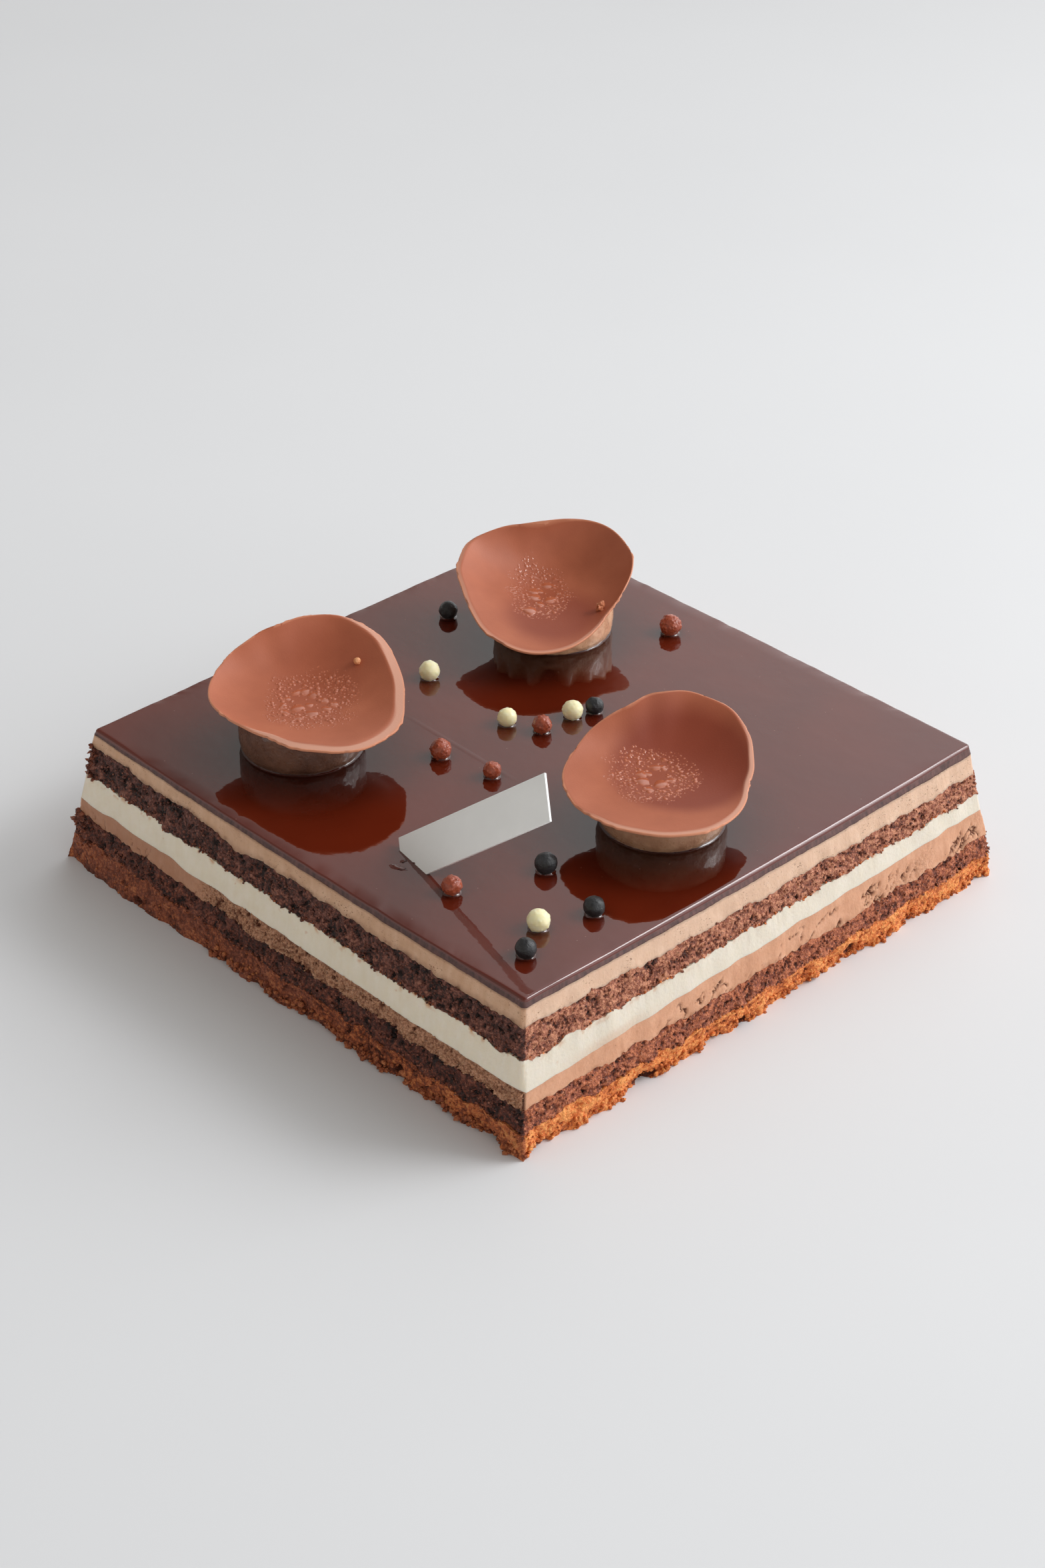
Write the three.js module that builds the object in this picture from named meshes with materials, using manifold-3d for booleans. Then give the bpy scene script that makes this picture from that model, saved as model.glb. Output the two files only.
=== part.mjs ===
// Triple chocolate mousse cake: a square of layers under a poured glaze, with chocolate petals
// on mousse pucks, chocolate pearls and a bare card on top.
// Millimetres, +Z up. The origin is the middle of the underside, and the front corner is at +X, -Y.
import * as THREE from 'three';
import { mergeVertices } from 'three/addons/utils/BufferGeometryUtils.js';
import Module from 'manifold-3d';

// The square block, whose cut sides flare out towards the foot and bow out a little.
const TOP_SIDE = 180;
const BASE_SIDE = 195;
const HEIGHT = 45;
const CORNER_RADIUS = 1;
const SIDE_BOW = 0.8;
const COLUMNS_PER_SIDE = 38;
const COLUMNS_PER_CORE_POINT = 4;
const CORE_SCALE = 0.92;

// The layers from the bottom up. A top boundary is given as depths below the glaze at eight
// stations: the corner at -X -Y, the middle of the -Y side, the front corner and so on round.
// Crag is how far the cut side stands in and out, wave how far the boundary wanders. The foot of
// the crumbling base is set in from the flared side, at the same stations.
const FOOT_INSET = [0.2, 0.2, 1.6, 2.4, 1.2, 0.8, 0.6, 0.4];
const LAYERS = [
  {
    name: 'base_crunch',
    top: [36.0, 36.7, 37.2, 37.2, 37.6, 37.0, 36.6, 36.4],
    rows: 3,
    crag: 1.3,
    wave: 0.6,
    colour: 0x8a4d33,
    roughness: 0.85,
  },
  {
    name: 'sponge_lower',
    top: [29.0, 30.4, 30.6, 31.2, 30.8, 30.6, 30.0, 29.6],
    rows: 2,
    crag: 1.2,
    wave: 0.5,
    colour: 0x4a2f28,
    roughness: 0.95,
  },
  {
    name: 'mousse_lower',
    top: [23.8, 24.6, 25.4, 23.2, 22.1, 23.0, 24.0, 23.6],
    rows: 1,
    crag: 0.5,
    wave: 0.25,
    colour: 0xb98f74,
    roughness: 0.8,
  },
  {
    name: 'mousse_white',
    top: [15.2, 16.5, 16.8, 16.6, 16.2, 16.5, 16.0, 15.6],
    rows: 1,
    crag: 0.3,
    wave: 0.4,
    colour: 0xe6dfcb,
    roughness: 0.75,
  },
  {
    name: 'sponge_upper',
    top: [5.2, 7.4, 8.0, 9.2, 9.7, 9.0, 7.6, 7.0],
    rows: 2,
    crag: 1.0,
    wave: 0.35,
    colour: 0x4a2f28,
    roughness: 0.95,
  },
  {
    name: 'mousse_upper',
    top: [1.8, 2.2, 2.5, 3.0, 3.2, 2.8, 2.4, 2.1],
    rows: 1,
    crag: 0.3,
    wave: 0.1,
    colour: 0xc9a385,
    roughness: 0.8,
  },
];

// The glaze: its rounded top edge as steps of inset and depth below the top.
const GLAZE_EDGE = [
  [0, 1.2],
  [0.35, 0.4],
  [1.1, 0],
];

// Petals: dished chocolate shells whose backs stand up. Each outline is a radius about the dish
// centre with lobes of [count, height, direction in degrees]. The floor is a height above the
// glaze, and so is the rim, which tilts up to the back and has a saddle in it.
const PETAL_THICKNESS = 1.8;
const PETAL_RIM_THICKNESS = 1.4;
const PETAL_RIM_CHIP = 0.3;
const PETAL_COLUMNS = 30;
const PETAL_OUTER_STEPS = [0.4, 0.72, 0.9, 1];
const DISH_POWER = 2.6;
const BACK_DIRECTION = THREE.MathUtils.degToRad(135.6);
const PETALS = [
  {
    x: -42.1,
    y: -51.2,
    floor: 14,
    rim: 20.7,
    tilt: 5.3,
    saddle: 2,
    radius: 27.7,
    lobes: [[1, 4.5, 20], [2, 0.8, 4], [3, 2.5, -14]],
  },
  {
    x: -41.1,
    y: 49.1,
    floor: 11.5,
    rim: 19.8,
    tilt: 8.1,
    saddle: -0.9,
    radius: 26.3,
    lobes: [[1, 5.3, -79], [2, 2.4, -90], [3, 2.1, -45], [4, 1, 30]],
  },
  {
    x: 56,
    y: -3.8,
    floor: 13.5,
    rim: 18.9,
    tilt: 5.8,
    saddle: 2.2,
    radius: 26.5,
    lobes: [[1, 3.7, -40], [2, 2.5, -85], [3, 2, -22]],
  },
];

// Pucks: soft mousse drums, pressed to the form of the petal that each one carries.
const PUCK_RADIUS = 18;
const PUCK_SIDE = [
  [16.8, 0],
  [17.7, 1.1],
  [18.3, 4],
];

// Pearls: [x, y, diameter, kind]. Each one is cut flat at a foot below its middle, as a share of
// its radius, and what lies within the press of that foot is flattened on to it.
const PEARL_FOOT = 0.8;
const PEARL_PRESS = 0.08;
const PEARL_LUMP = 0.05;
const PEARLS = [
  [-44.5, 0.6, 6.5, 'white'],
  [-9.7, -0.6, 5.8, 'white'],
  [0.1, 4.1, 5.8, 'milk'],
  [0.6, 16.1, 6.3, 'white'],
  [2.8, 23.1, 5.4, 'dark'],
  [-10.0, -26.8, 6.5, 'milk'],
  [7.8, -23.3, 5.6, 'milk'],
  [52.2, -45.3, 6.2, 'dark'],
  [42.3, -70.9, 5.8, 'milk'],
  [70.1, -65.4, 6.7, 'white'],
  [75.3, -50.0, 6.0, 'dark'],
  [76.3, -76.3, 6.0, 'dark'],
  [-68.2, 30.1, 5.8, 'dark'],
  [-14.1, 73.1, 6.8, 'milk'],
];

// The card: one corner is buried, so that a chord of it lies in the glaze. Heading is the chord's
// direction, lean the slope of the card's face, and turn the long edge's rise from the chord.
const CARD = {
  length: 59,
  width: 13.4,
  thickness: 0.8,
  x: 24.5,
  y: -68.3,
  chord: 14.2,
  heading: -10.6,
  lean: 62,
  turn: 45,
};
const CARD_CLEARANCE = 0.3;

// Colour, roughness and metalness of what lies on the layers.
const FINISHES = {
  glaze: [0x3a1d18, 0.08, 0],
  puck: [0x7d5a45, 0.4, 0],
  petal: [0xa5603f, 0.45, 0],
  card: [0xc4c0b8, 0.35, 0.3],
  white: [0xe4dcb4, 0.35, 0],
  milk: [0x8c483a, 0.35, 0],
  dark: [0x232323, 0.35, 0],
};

const SEED = 41;
const RANDOM_FACTOR = 16807;
const RANDOM_PERIOD = 2147483647;

const wasm = await Module();
wasm.setup();

// Repeatable random numbers from 0 to 1.
function randomSource(seed) {
  let state = seed;
  return () => {
    state = (state * RANDOM_FACTOR) % RANDOM_PERIOD;
    return state / RANDOM_PERIOD;
  };
}

const random = randomSource(SEED);
const either = (size) => size * (2 * random() - 1);

function geometryOf(triangles) {
  const points = triangles.flat();
  return new THREE.BufferGeometry().setFromPoints(points);
}

function meshOf(name, geometry, [colour, roughness, metalness]) {
  const material = new THREE.MeshStandardMaterial({ color: colour, roughness, metalness });
  const mesh = new THREE.Mesh(geometry, material);
  mesh.name = name;
  return mesh;
}

// Triangles of a closed band between two rings that run anticlockwise seen from above.
function band(lower, upper) {
  return lower.flatMap((point, i) => {
    const next = (i + 1) % lower.length;
    return [
      [point, lower[next], upper[next]],
      [point, upper[next], upper[i]],
    ];
  });
}

// Triangles from a ring to a point in its middle, facing up.
function fan(ring, middle) {
  return ring.map((point, i) => [point, ring[(i + 1) % ring.length], middle]);
}

function turnedOver(triangles) {
  return triangles.map(([a, b, c]) => [a, c, b]);
}

// The columns of the cut sides, anticlockwise from the corner at -X -Y. Station runs from 0 to 8.
function sideColumns() {
  const columns = [];
  for (let side = 0; side < 4; side += 1) {
    const facing = (side - 1) * Math.PI / 2;
    const normal = new THREE.Vector2(Math.cos(facing), Math.sin(facing)).round();
    const tangent = new THREE.Vector2(-normal.y, normal.x);
    for (let i = 0; i < COLUMNS_PER_SIDE; i += 1) {
      const along = -1 + 2 * i / (COLUMNS_PER_SIDE - 1);
      columns.push({ normal, tangent, along, station: 2 * side + along + 1 });
    }
    const diagonal = normal.clone().add(tangent).normalize();
    columns.push({ normal: diagonal, corner: true, station: 2 * side + 2 });
  }
  return columns;
}

const COLUMNS = sideColumns();

// A point of a column at a depth below the glaze, standing out from the side by an offset.
function columnPoint(column, depth, offset) {
  const half = (TOP_SIDE + (BASE_SIDE - TOP_SIDE) * depth / HEIGHT) / 2;
  const straight = half - CORNER_RADIUS;
  const place = new THREE.Vector2();
  if (column.corner) {
    place.addScaledVector(column.normal, straight * Math.SQRT2 + CORNER_RADIUS + offset);
  } else {
    const bow = SIDE_BOW * (1 - column.along ** 2);
    place.addScaledVector(column.normal, half + bow + offset);
    place.addScaledVector(column.tangent, straight * column.along);
  }
  return new THREE.Vector3(place.x, place.y, HEIGHT - depth);
}

// A smooth closed run through values at the stations, as a function of the station.
function stationRun(values) {
  const points = values.map((value) => new THREE.Vector3(0, 0, value));
  const curve = new THREE.CatmullRomCurve3(points, true, 'catmullrom');
  return (station) => curve.getPoint(station / values.length % 1).z;
}

// A layer boundary: its rim, which wanders about the depths at the stations, and its flat core.
function boundaryOf(depths, wave, crag) {
  const depthAt = stationRun(depths);
  const rim = COLUMNS.map((column) => (
    columnPoint(column, depthAt(column.station) + either(wave), either(crag))
  ));
  const middle = depths.reduce((sum, depth) => sum + depth) / depths.length;
  return { rim, height: HEIGHT - middle };
}

function footOf(crag) {
  const insetAt = stationRun(FOOT_INSET);
  const rim = COLUMNS.map((column) => (
    columnPoint(column, HEIGHT, either(crag) - insetAt(column.station))
  ));
  return { rim, height: 0 };
}

// The sheet that closes a rim: a sloping border, with a few columns to each point of a flat core.
function sheet({ rim, height }) {
  const border = [];
  const core = [];
  for (let start = 0; start < rim.length; start += COLUMNS_PER_CORE_POINT) {
    const group = [];
    for (let i = 0; i <= COLUMNS_PER_CORE_POINT; i += 1) {
      group.push(rim[(start + i) % rim.length]);
    }
    const column = COLUMNS[start + COLUMNS_PER_CORE_POINT / 2];
    const corePoint = columnPoint(column, HEIGHT - height, 0);
    corePoint.multiply(new THREE.Vector3(CORE_SCALE, CORE_SCALE, 1));
    core.push(corePoint);
    border.push(...group.slice(1).map((point, i) => [group[i], point, corePoint]));
  }
  core.forEach((point, i) => {
    const next = (i + 1) % core.length;
    border.push([rim[next * COLUMNS_PER_CORE_POINT], core[next], point]);
  });
  return [...border, ...fan(core, new THREE.Vector3(0, 0, height))];
}

// The rings of a craggy side between two rims.
function craggyRings(lower, upper, rows, crag) {
  const rings = [];
  for (let row = 1; row <= rows; row += 1) {
    const ring = lower.map((point, i) => {
      const outward = COLUMNS[i].normal.clone().multiplyScalar(either(crag));
      const place = point.clone().lerp(upper[i], row / (rows + 1));
      return place.add(new THREE.Vector3(outward.x, outward.y, 0));
    });
    rings.push(ring);
  }
  return rings;
}

function layerTriangles(lower, upper, rings) {
  const all = [lower.rim, ...rings, upper.rim];
  const sides = all.slice(1).flatMap((ring, i) => band(all[i], ring));
  return [...turnedOver(sheet(lower)), ...sides, ...sheet(upper)];
}

// The rounded upper edge of the glaze, up to its flat top.
function glazeTriangles(lower) {
  const rings = GLAZE_EDGE.map(([inset, depth]) => (
    COLUMNS.map((column) => columnPoint(column, depth, -inset))
  ));
  const top = { rim: rings.pop(), height: HEIGHT };
  return layerTriangles(lower, top, rings);
}

function petalRadius(petal, angle) {
  return petal.lobes.reduce((sum, [count, height, degrees]) => (
    sum + height * Math.cos(count * (angle - THREE.MathUtils.degToRad(degrees)))
  ), petal.radius);
}

// A petal's height above the glaze, from its floor up to the rim in that direction.
function petalHeight(petal, angle, reach) {
  const back = angle - BACK_DIRECTION;
  const rim = petal.rim + petal.tilt * Math.cos(back) + petal.saddle * Math.cos(2 * back);
  return petal.floor + (rim - petal.floor) * reach ** DISH_POWER;
}

// The rings of a petal's upper and lower face. The second ring is the edge of the puck below.
function petalRings(petal) {
  const upper = [];
  const lower = [];
  const edges = [];
  for (let i = 0; i < PETAL_COLUMNS; i += 1) {
    edges.push(petalRadius(petal, 2 * Math.PI * i / PETAL_COLUMNS) + either(PETAL_RIM_CHIP));
  }
  const inner = [PUCK_RADIUS / 2, PUCK_RADIUS].map((radius) => () => radius);
  const outer = PETAL_OUTER_STEPS.map((step) => (
    (edge) => THREE.MathUtils.lerp(PUCK_RADIUS, edge, step)
  ));
  for (const radiusAt of [...inner, ...outer]) {
    const faces = edges.map((edge, i) => {
      const angle = 2 * Math.PI * i / PETAL_COLUMNS;
      const radius = radiusAt(edge);
      const reach = radius / edge;
      const thickness = THREE.MathUtils.lerp(PETAL_THICKNESS, PETAL_RIM_THICKNESS, reach);
      const x = petal.x + radius * Math.cos(angle);
      const y = petal.y + radius * Math.sin(angle);
      const z = HEIGHT + petalHeight(petal, angle, reach);
      return [new THREE.Vector3(x, y, z), new THREE.Vector3(x, y, z - thickness)];
    });
    upper.push(faces.map(([above]) => above));
    lower.push(faces.map(([, below]) => below));
  }
  const middle = new THREE.Vector3(petal.x, petal.y, HEIGHT + petal.floor);
  const middleBelow = middle.clone().setZ(middle.z - PETAL_THICKNESS);
  return { upper, lower, middle, middleBelow };
}

// One face of a petal, facing up, out to its last ring.
function dishTriangles(rings, middle) {
  const bands = rings.slice(1).flatMap((ring, i) => band(ring, rings[i]));
  return [...fan(rings[0], middle), ...bands];
}

function petalTriangles({ upper, lower, middle, middleBelow }) {
  return [
    ...dishTriangles(upper, middle),
    ...turnedOver(dishTriangles(lower, middleBelow)),
    ...band(lower.at(-1), upper.at(-1)),
  ];
}

// A puck: a drum with a rounded foot, closed on top by the underside of its petal.
function puckTriangles(petal, { lower, middleBelow }) {
  const side = PUCK_SIDE.map(([radius, height]) => (
    lower[0].map((_, i) => {
      const angle = 2 * Math.PI * i / PETAL_COLUMNS;
      const x = petal.x + radius * Math.cos(angle);
      const y = petal.y + radius * Math.sin(angle);
      return new THREE.Vector3(x, y, HEIGHT + height);
    })
  ));
  const top = lower.slice(0, 2);
  const rings = [...side, top[1]];
  const foot = new THREE.Vector3(petal.x, petal.y, HEIGHT);
  return [
    ...turnedOver(fan(side[0], foot)),
    ...rings.slice(1).flatMap((ring, i) => band(rings[i], ring)),
    ...dishTriangles(top, middleBelow),
  ];
}

// Position-only geometry whose shared corners are merged.
function merged(geometry) {
  geometry.deleteAttribute('normal');
  geometry.deleteAttribute('uv');
  return mergeVertices(geometry);
}

// A lumpy ball with a flat foot at height zero.
function pearlGeometry(diameter) {
  const radius = diameter / 2;
  const geometry = merged(new THREE.IcosahedronGeometry(radius, 1));
  const position = geometry.getAttribute('position');
  const point = new THREE.Vector3();
  for (let i = 0; i < position.count; i += 1) {
    point.fromBufferAttribute(position, i);
    point.multiplyScalar(1 + either(PEARL_LUMP));
    const height = point.z / radius + PEARL_FOOT;
    position.setXYZ(i, point.x, point.y, height < PEARL_PRESS ? 0 : radius * height);
  }
  return geometry;
}

function solidOf(geometry) {
  const { index, attributes } = merged(geometry.clone());
  const triVerts = new Uint32Array(index.array);
  const vertProperties = attributes.position.array;
  return new wasm.Manifold(new wasm.Mesh({ numProp: 3, vertProperties, triVerts }));
}

function cutBy(geometry, cutter) {
  const { vertProperties, triVerts } = solidOf(geometry).subtract(solidOf(cutter)).getMesh();
  const position = new THREE.BufferAttribute(vertProperties, 3);
  const index = new THREE.BufferAttribute(triVerts, 1);
  return new THREE.BufferGeometry().setAttribute('position', position).setIndex(index);
}

function cardBox(spare) {
  return new THREE.BoxGeometry(
    CARD.length + 2 * spare,
    CARD.width + 2 * spare,
    CARD.thickness + 2 * spare,
  );
}

// The card in nested groups: heading about Z, then the lean of its face, then its turn in the face.
function cardGroup() {
  const card = meshOf('card', cardBox(0), FINISHES.card);
  const turn = THREE.MathUtils.degToRad(CARD.turn);
  card.position.set(
    CARD.length / 2 - CARD.chord / 2 * Math.cos(turn),
    CARD.width / 2 - CARD.chord / 2 * Math.sin(turn),
    0,
  );
  const turned = new THREE.Group().add(card);
  turned.rotation.z = turn;
  const leaning = new THREE.Group().add(turned);
  leaning.rotation.x = THREE.MathUtils.degToRad(CARD.lean);
  const headed = new THREE.Group().add(leaning);
  headed.rotation.z = THREE.MathUtils.degToRad(CARD.heading);
  headed.position.set(CARD.x, CARD.y, HEIGHT);
  headed.updateMatrixWorld(true);
  return { headed, slot: cardBox(CARD_CLEARANCE).applyMatrix4(card.matrixWorld) };
}

const cake = new THREE.Group();
const { headed: card, slot } = cardGroup();

let below = footOf(LAYERS[0].crag);
for (const { name, top, rows, crag, wave, colour, roughness } of LAYERS) {
  const above = boundaryOf(top, wave, Math.min(crag, wave));
  const rings = craggyRings(below.rim, above.rim, rows, crag);
  const geometry = geometryOf(layerTriangles(below, above, rings));
  const holdsCard = name === 'mousse_upper';
  const finish = [colour, roughness, 0];
  cake.add(meshOf(name, holdsCard ? cutBy(geometry, slot) : geometry, finish));
  below = above;
}
const glaze = geometryOf(glazeTriangles(below));
cake.add(meshOf('glaze', cutBy(glaze, slot), FINISHES.glaze));

PETALS.forEach((petal, i) => {
  const rings = petalRings(petal);
  const puck = geometryOf(puckTriangles(petal, rings));
  const shell = geometryOf(petalTriangles(rings));
  cake.add(meshOf(`puck_${i + 1}`, puck, FINISHES.puck));
  cake.add(meshOf(`petal_${i + 1}`, shell, FINISHES.petal));
});

const pearlCounts = { white: 0, milk: 0, dark: 0 };
for (const [x, y, diameter, kind] of PEARLS) {
  pearlCounts[kind] += 1;
  const name = `pearl_${kind}_${pearlCounts[kind]}`;
  const pearl = meshOf(name, pearlGeometry(diameter), FINISHES[kind]);
  pearl.position.set(x, y, HEIGHT);
  cake.add(pearl);
}

cake.add(card);

export default cake;
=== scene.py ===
"""Looks of a square layered chocolate mousse cake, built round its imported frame.

Shapes are worked out in millimetres and handed to Blender in metres. The cake's cut sides are read
from the frame's layers and given their crumb, pores and tears. Petals and pucks are read from the
frame as rings and refined. Pearls, card and glaze are fitted to their nodes.
"""

import math
from collections import namedtuple

import bmesh
import bpy
import numpy as np
from mathutils import Matrix, Vector


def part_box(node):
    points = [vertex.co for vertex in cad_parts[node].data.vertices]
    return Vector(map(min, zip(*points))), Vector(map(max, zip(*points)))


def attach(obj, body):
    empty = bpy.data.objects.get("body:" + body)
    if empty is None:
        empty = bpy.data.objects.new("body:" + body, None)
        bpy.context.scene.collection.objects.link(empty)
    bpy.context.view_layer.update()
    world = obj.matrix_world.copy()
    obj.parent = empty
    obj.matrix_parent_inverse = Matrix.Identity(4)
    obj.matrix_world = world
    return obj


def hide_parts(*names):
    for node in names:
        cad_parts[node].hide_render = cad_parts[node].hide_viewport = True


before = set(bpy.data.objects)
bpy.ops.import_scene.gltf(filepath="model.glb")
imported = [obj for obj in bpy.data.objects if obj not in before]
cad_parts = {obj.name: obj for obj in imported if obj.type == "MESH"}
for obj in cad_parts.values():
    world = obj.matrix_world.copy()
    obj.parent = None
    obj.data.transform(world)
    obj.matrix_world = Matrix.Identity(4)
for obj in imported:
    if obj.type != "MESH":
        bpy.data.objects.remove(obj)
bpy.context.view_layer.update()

MM = 0.001
SEED = 7
UP = np.array([0, 0, 1])

# The block: height of the glaze's top, half the top's side, and how far the sides flare out.
TOP = 45.0
HALF = 90.0
FLARE = 7.5

# Layers from the bottom up. A boundary is named after the layer above it.
LAYERS = [
    "base_crunch", "sponge_lower", "mousse_lower", "mousse_white", "sponge_upper", "mousse_upper",
]
SPONGES = ["sponge_lower", "sponge_upper"]
# Close columns along a side and round a corner, the pitch of the rows up a side, and how far in the
# top and bottom of a layer run level.
SIDE_COLUMNS = 410
CORNER_COLUMNS = 3
ROW_PITCH = 0.42
LEDGE = 6.0
# Share of half the side from which on a corner of a layer, or of the top, is one of its rim's.
RIM_SHARE = 0.945
TOP_RIM_SHARE = 0.97
# Heights closer than this are the same.
SAME = 0.01
# Size of a crumb. For each side: how much painted light the crumb takes, how far painted shade
# darkens it, how rough the base is, and how far painted shade dulls the white mousse. Side 0 faces
# -Y, side 1 +X, side 2 +Y and side 3 -X.
CRUMB = {"base_crunch": 1.25, "sponge_lower": 1.2, "sponge_upper": 1.2}
CRUMB_PAINTED_LIGHT = (0.02, 0.34, 0.24, 0.05)
DAMP_AND_SHADE = (0.92, 0.0, 0.1, 0.5)
BASE_ROUGH = (0.5, 0.95, 0.85, 0.6)
SIDE_TONE = (0.0, 0.5, 0.3, 0.1)

# How far each boundary is jagged, at a coarse and at a fine scale.
JAG_SCALES = (3.2, 1.1)
JAG = {
    "sponge_lower": (0.5, 0.35),
    "mousse_lower": (0.6, 0.55),
    "mousse_white": (0.12, 0.05),
    "sponge_upper": (0.45, 0.5),
    "mousse_upper": (0.35, 0.55),
    "glaze": (0.1, 0.1),
}

# Places where a boundary sags: side, place along it, half width and drop.
DIPS = {
    "mousse_upper": [(0, -68, 9, 0.9), (0, -26, 9, 1.9), (0, 15, 20, -0.4)],
    "mousse_white": [(0, -53, 4, -1.2), (0, -46, 6, 0.5), (1, -82, 8, 0.4)],
    "sponge_upper": [(0, -57, 2, 1.2), (0, 88, 4, 1.4), (1, -88, 4, 1.2)],
}

# Single holes and cracks in the sides: side, place along it, depth below the top, half width,
# half height and how far in it goes.
HOLES = [
    (0, 49, 42.6, 1.7, 1.5, 3.0),
    (0, 47.5, 32, 1.4, 1.6, 2.6),
    (0, -63, 43.2, 1.5, 1.0, 2.0),
    (1, 34, 41.8, 2.0, 1.5, 3.2),
    (1, -12, 43.6, 3.5, 1.3, 3.0),
    (1, -50, 43.4, 4.5, 1.6, 2.6),
]

# Glaze: radius of its rounded edge on each side, the frame's own inset there, the steps up the cut
# and round the edge, and the border inside it, where the top slopes off.
EDGE_RADIUS = (0.6, 1.4, 1.0, 0.8)
FRAME_EDGE = 1.1
CUT_STEPS = 5
EDGE_STEPS = 9
SLOPE_STEPS = 8
SLOPE_WIDTH = 4.5
SLOPE_DROP = 0.2

# A ridge in the glaze: ends, half width, height. Smears: place, half length, half width, turn.
RIDGE = ((-34.0, -18.8), (15.0, -19.8), 1.3, 0.035)
SMEARS = [(23.4, -73.4, 2.3, 1.0, 20), (22.3, -70.3, 0.9, 0.6, 70), (27.5, -67.6, 3.2, 0.5, 24)]
SMEAR_HEIGHT = 0.3

# Petals and pucks are numbered alike. Their middle point is within this radius of their centre.
PETAL_NUMBERS = (1, 2, 3)
CORE = 0.5

# Petals: columns, rows of the upper face, rim and lower face, and how late the rings take the
# edge's shape. The lip's greatest and least width, slope and softness, and the way in degrees in
# which it is widest. The rim's height, and the depth of its chips.
PETAL_COLUMNS = 320
PETAL_ROWS = 44
RIM_ROWS = 7
UNDER_ROWS = 12
ROUNDING = 2.5
LIP_WIDTH = {1: 2.7, 2: 1.2, 3: 1.5}
LIP_LEAST = 0.4
LIP_SLOPE = -0.08
LIP_ROUND = 0.5
LIP_TOWARDS = {1: 15, 2: 280, 3: 355}
RIM_SHOWN = 0.7
CHIP = 0.42
# Places where a petal's rim is drawn out or lifted: the way there in degrees, spread, out and up.
NUDGES = {1: [(180, 25, 1.0, 0.7)], 2: [], 3: [(150, 28, 1.2, 0.8), (183, 18, 1.5, 0.4)]}

# Pucks: radius, rows and columns, the rings that close them under the petal, and how pale they are,
# which is painted light against painted shade.
PUCK_RADIUS = 18.0
PUCK_ROWS = 24
PUCK_COLUMNS = 180
PUCK_RINGS = (15, 12, 9, 6, 3)
PUCK_PAINTED_LIGHT = {1: 0.08, 2: 1.0, 3: 0.5}

# Dew: the middle of each wet patch from the petal's centre, its half width, and how many times as
# long it is towards the back. The pitch of the dew's skin, and how deep that lies under the face.
DEW = {1: (1.9, 1.0, 14.5, 1.1), 2: (-3.3, -3.3, 11.0, 1.45), 3: (-2.2, -3.0, 13.5, 1.0)}
DEW_PITCH = 0.2
DEW_SUNK = 0.06
# Drops: the size of the cells they form in, the least and greatest radius as shares of a cell, how
# many cells have one, how high they are, and the ring of the patch they keep to.
DROPS = [
    (4.6, 0.28, 0.5, 0.8, 0.36, 0.0, 0.6),
    (1.7, 0.22, 0.46, 0.8, 0.36, 0.2, 0.9),
    (0.95, 0.22, 0.44, 0.8, 0.22, 0.45, 1.05),
]
# Large single drops on a petal: place from its centre, radius and height.
LARGE_DROPS = {1: [], 2: [(2.4, -12.5, 2.2, 0.5)], 3: []}
# Painted shade with a damp film: a darker, glossier part of each dish, by its middle, half width,
# strength and softness.
SHADE_AND_FILM = {
    1: (-6.0, 14.0, 13.0, 0.28, 0.7),
    2: (9.5, -9.0, 14.5, 0.75, 0.7),
    3: (2.0, 6.0, 20.0, 0.9, 0.35),
}
# Lumps that lie on a petal: name, place from its centre, radius, stretch, how rough and how pale.
LUMPS = {
    1: [("bead", 0.8, 20.9, 1.05, (1.0, 1.0, 1.0), 0.1, 1.0)],
    2: [("flake", 18.5, 1.8, 1.5, (0.6, 0.8, 1.1), 0.7, 0.1)],
    3: [],
}

# Pearls: size of their nubs, how far these stand out and how uneven the ball is, and how high the
# ball's middle is over the glaze for its radius.
PEARL_FORMS = {"white": (1.4, 0.075, 0.025), "milk": (1.05, 0.1, 0.05), "dark": (1.6, 0.045, 0.05)}
PEARL_RISE = 0.8
# Glaze at the foot of a pearl and of a puck: its radius, which is a share of the pearl's own, and
# how far it climbs and spreads.
PEARL_FOOT = (0.68, 0.45, 0.9)
PUCK_FOOT = (17.1, 0.5, 1.0)

# How far the card's edges are softened.
CARD_BEVEL = 0.14

# Camera: where it stands in millimetres, how it turns, looks down and tilts, and its lens.
CAMERA_PLACE = (527.11, -518.56, 503.91)
CAMERA_AZIMUTH = 45.664
CAMERA_ELEVATION = 32.735
CAMERA_ROLL = 0.666
IMAGE_HEIGHT = 2352
FOCAL_PIXELS = 4498.7
SENSOR = 36.0

# Light: each glow's direction, the range along it, and the brightness at both ends of the range.
GLOWS = [
    ((0.1, 0.95, 0.3), 0.42, 0.86, 0.0, 1.25),
    ((0.95, 0.25, 0.0), 0.3, 0.9, 0.0, 0.6),
    ((0.0, 0.0, 1.0), 0.0, 0.45, 0.72, 0.27),
    ((-0.25, -0.95, 0.1), 0.2, 0.9, 0.0, 0.15),
]
# The surroundings' tints in linear values, and the way from the front one to the back one.
WARM_TO_COOL = (0.45, 0.85, 0.2)
FRONT_TINT = (1.0, 0.95, 0.88, 1.0)
BACK_TINT = (0.97, 0.985, 1.0, 1.0)
# Lamps: the way to each from the cake, how far off it is, its width and height, and its power.
LAMPS = {
    "key": ((0.46, 0.7, 0.54), 1.35, 0.8, 0.7, 6.3),
    "rim": ((0.48, 0.58, 0.66), 1.29, 0.5, 0.25, 2.8),
}
LAMP_TINT = (0.98, 0.99, 1.0)
# Half the floor's side in metres.
FLOOR_HALF = 6.0


# Noise

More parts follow.
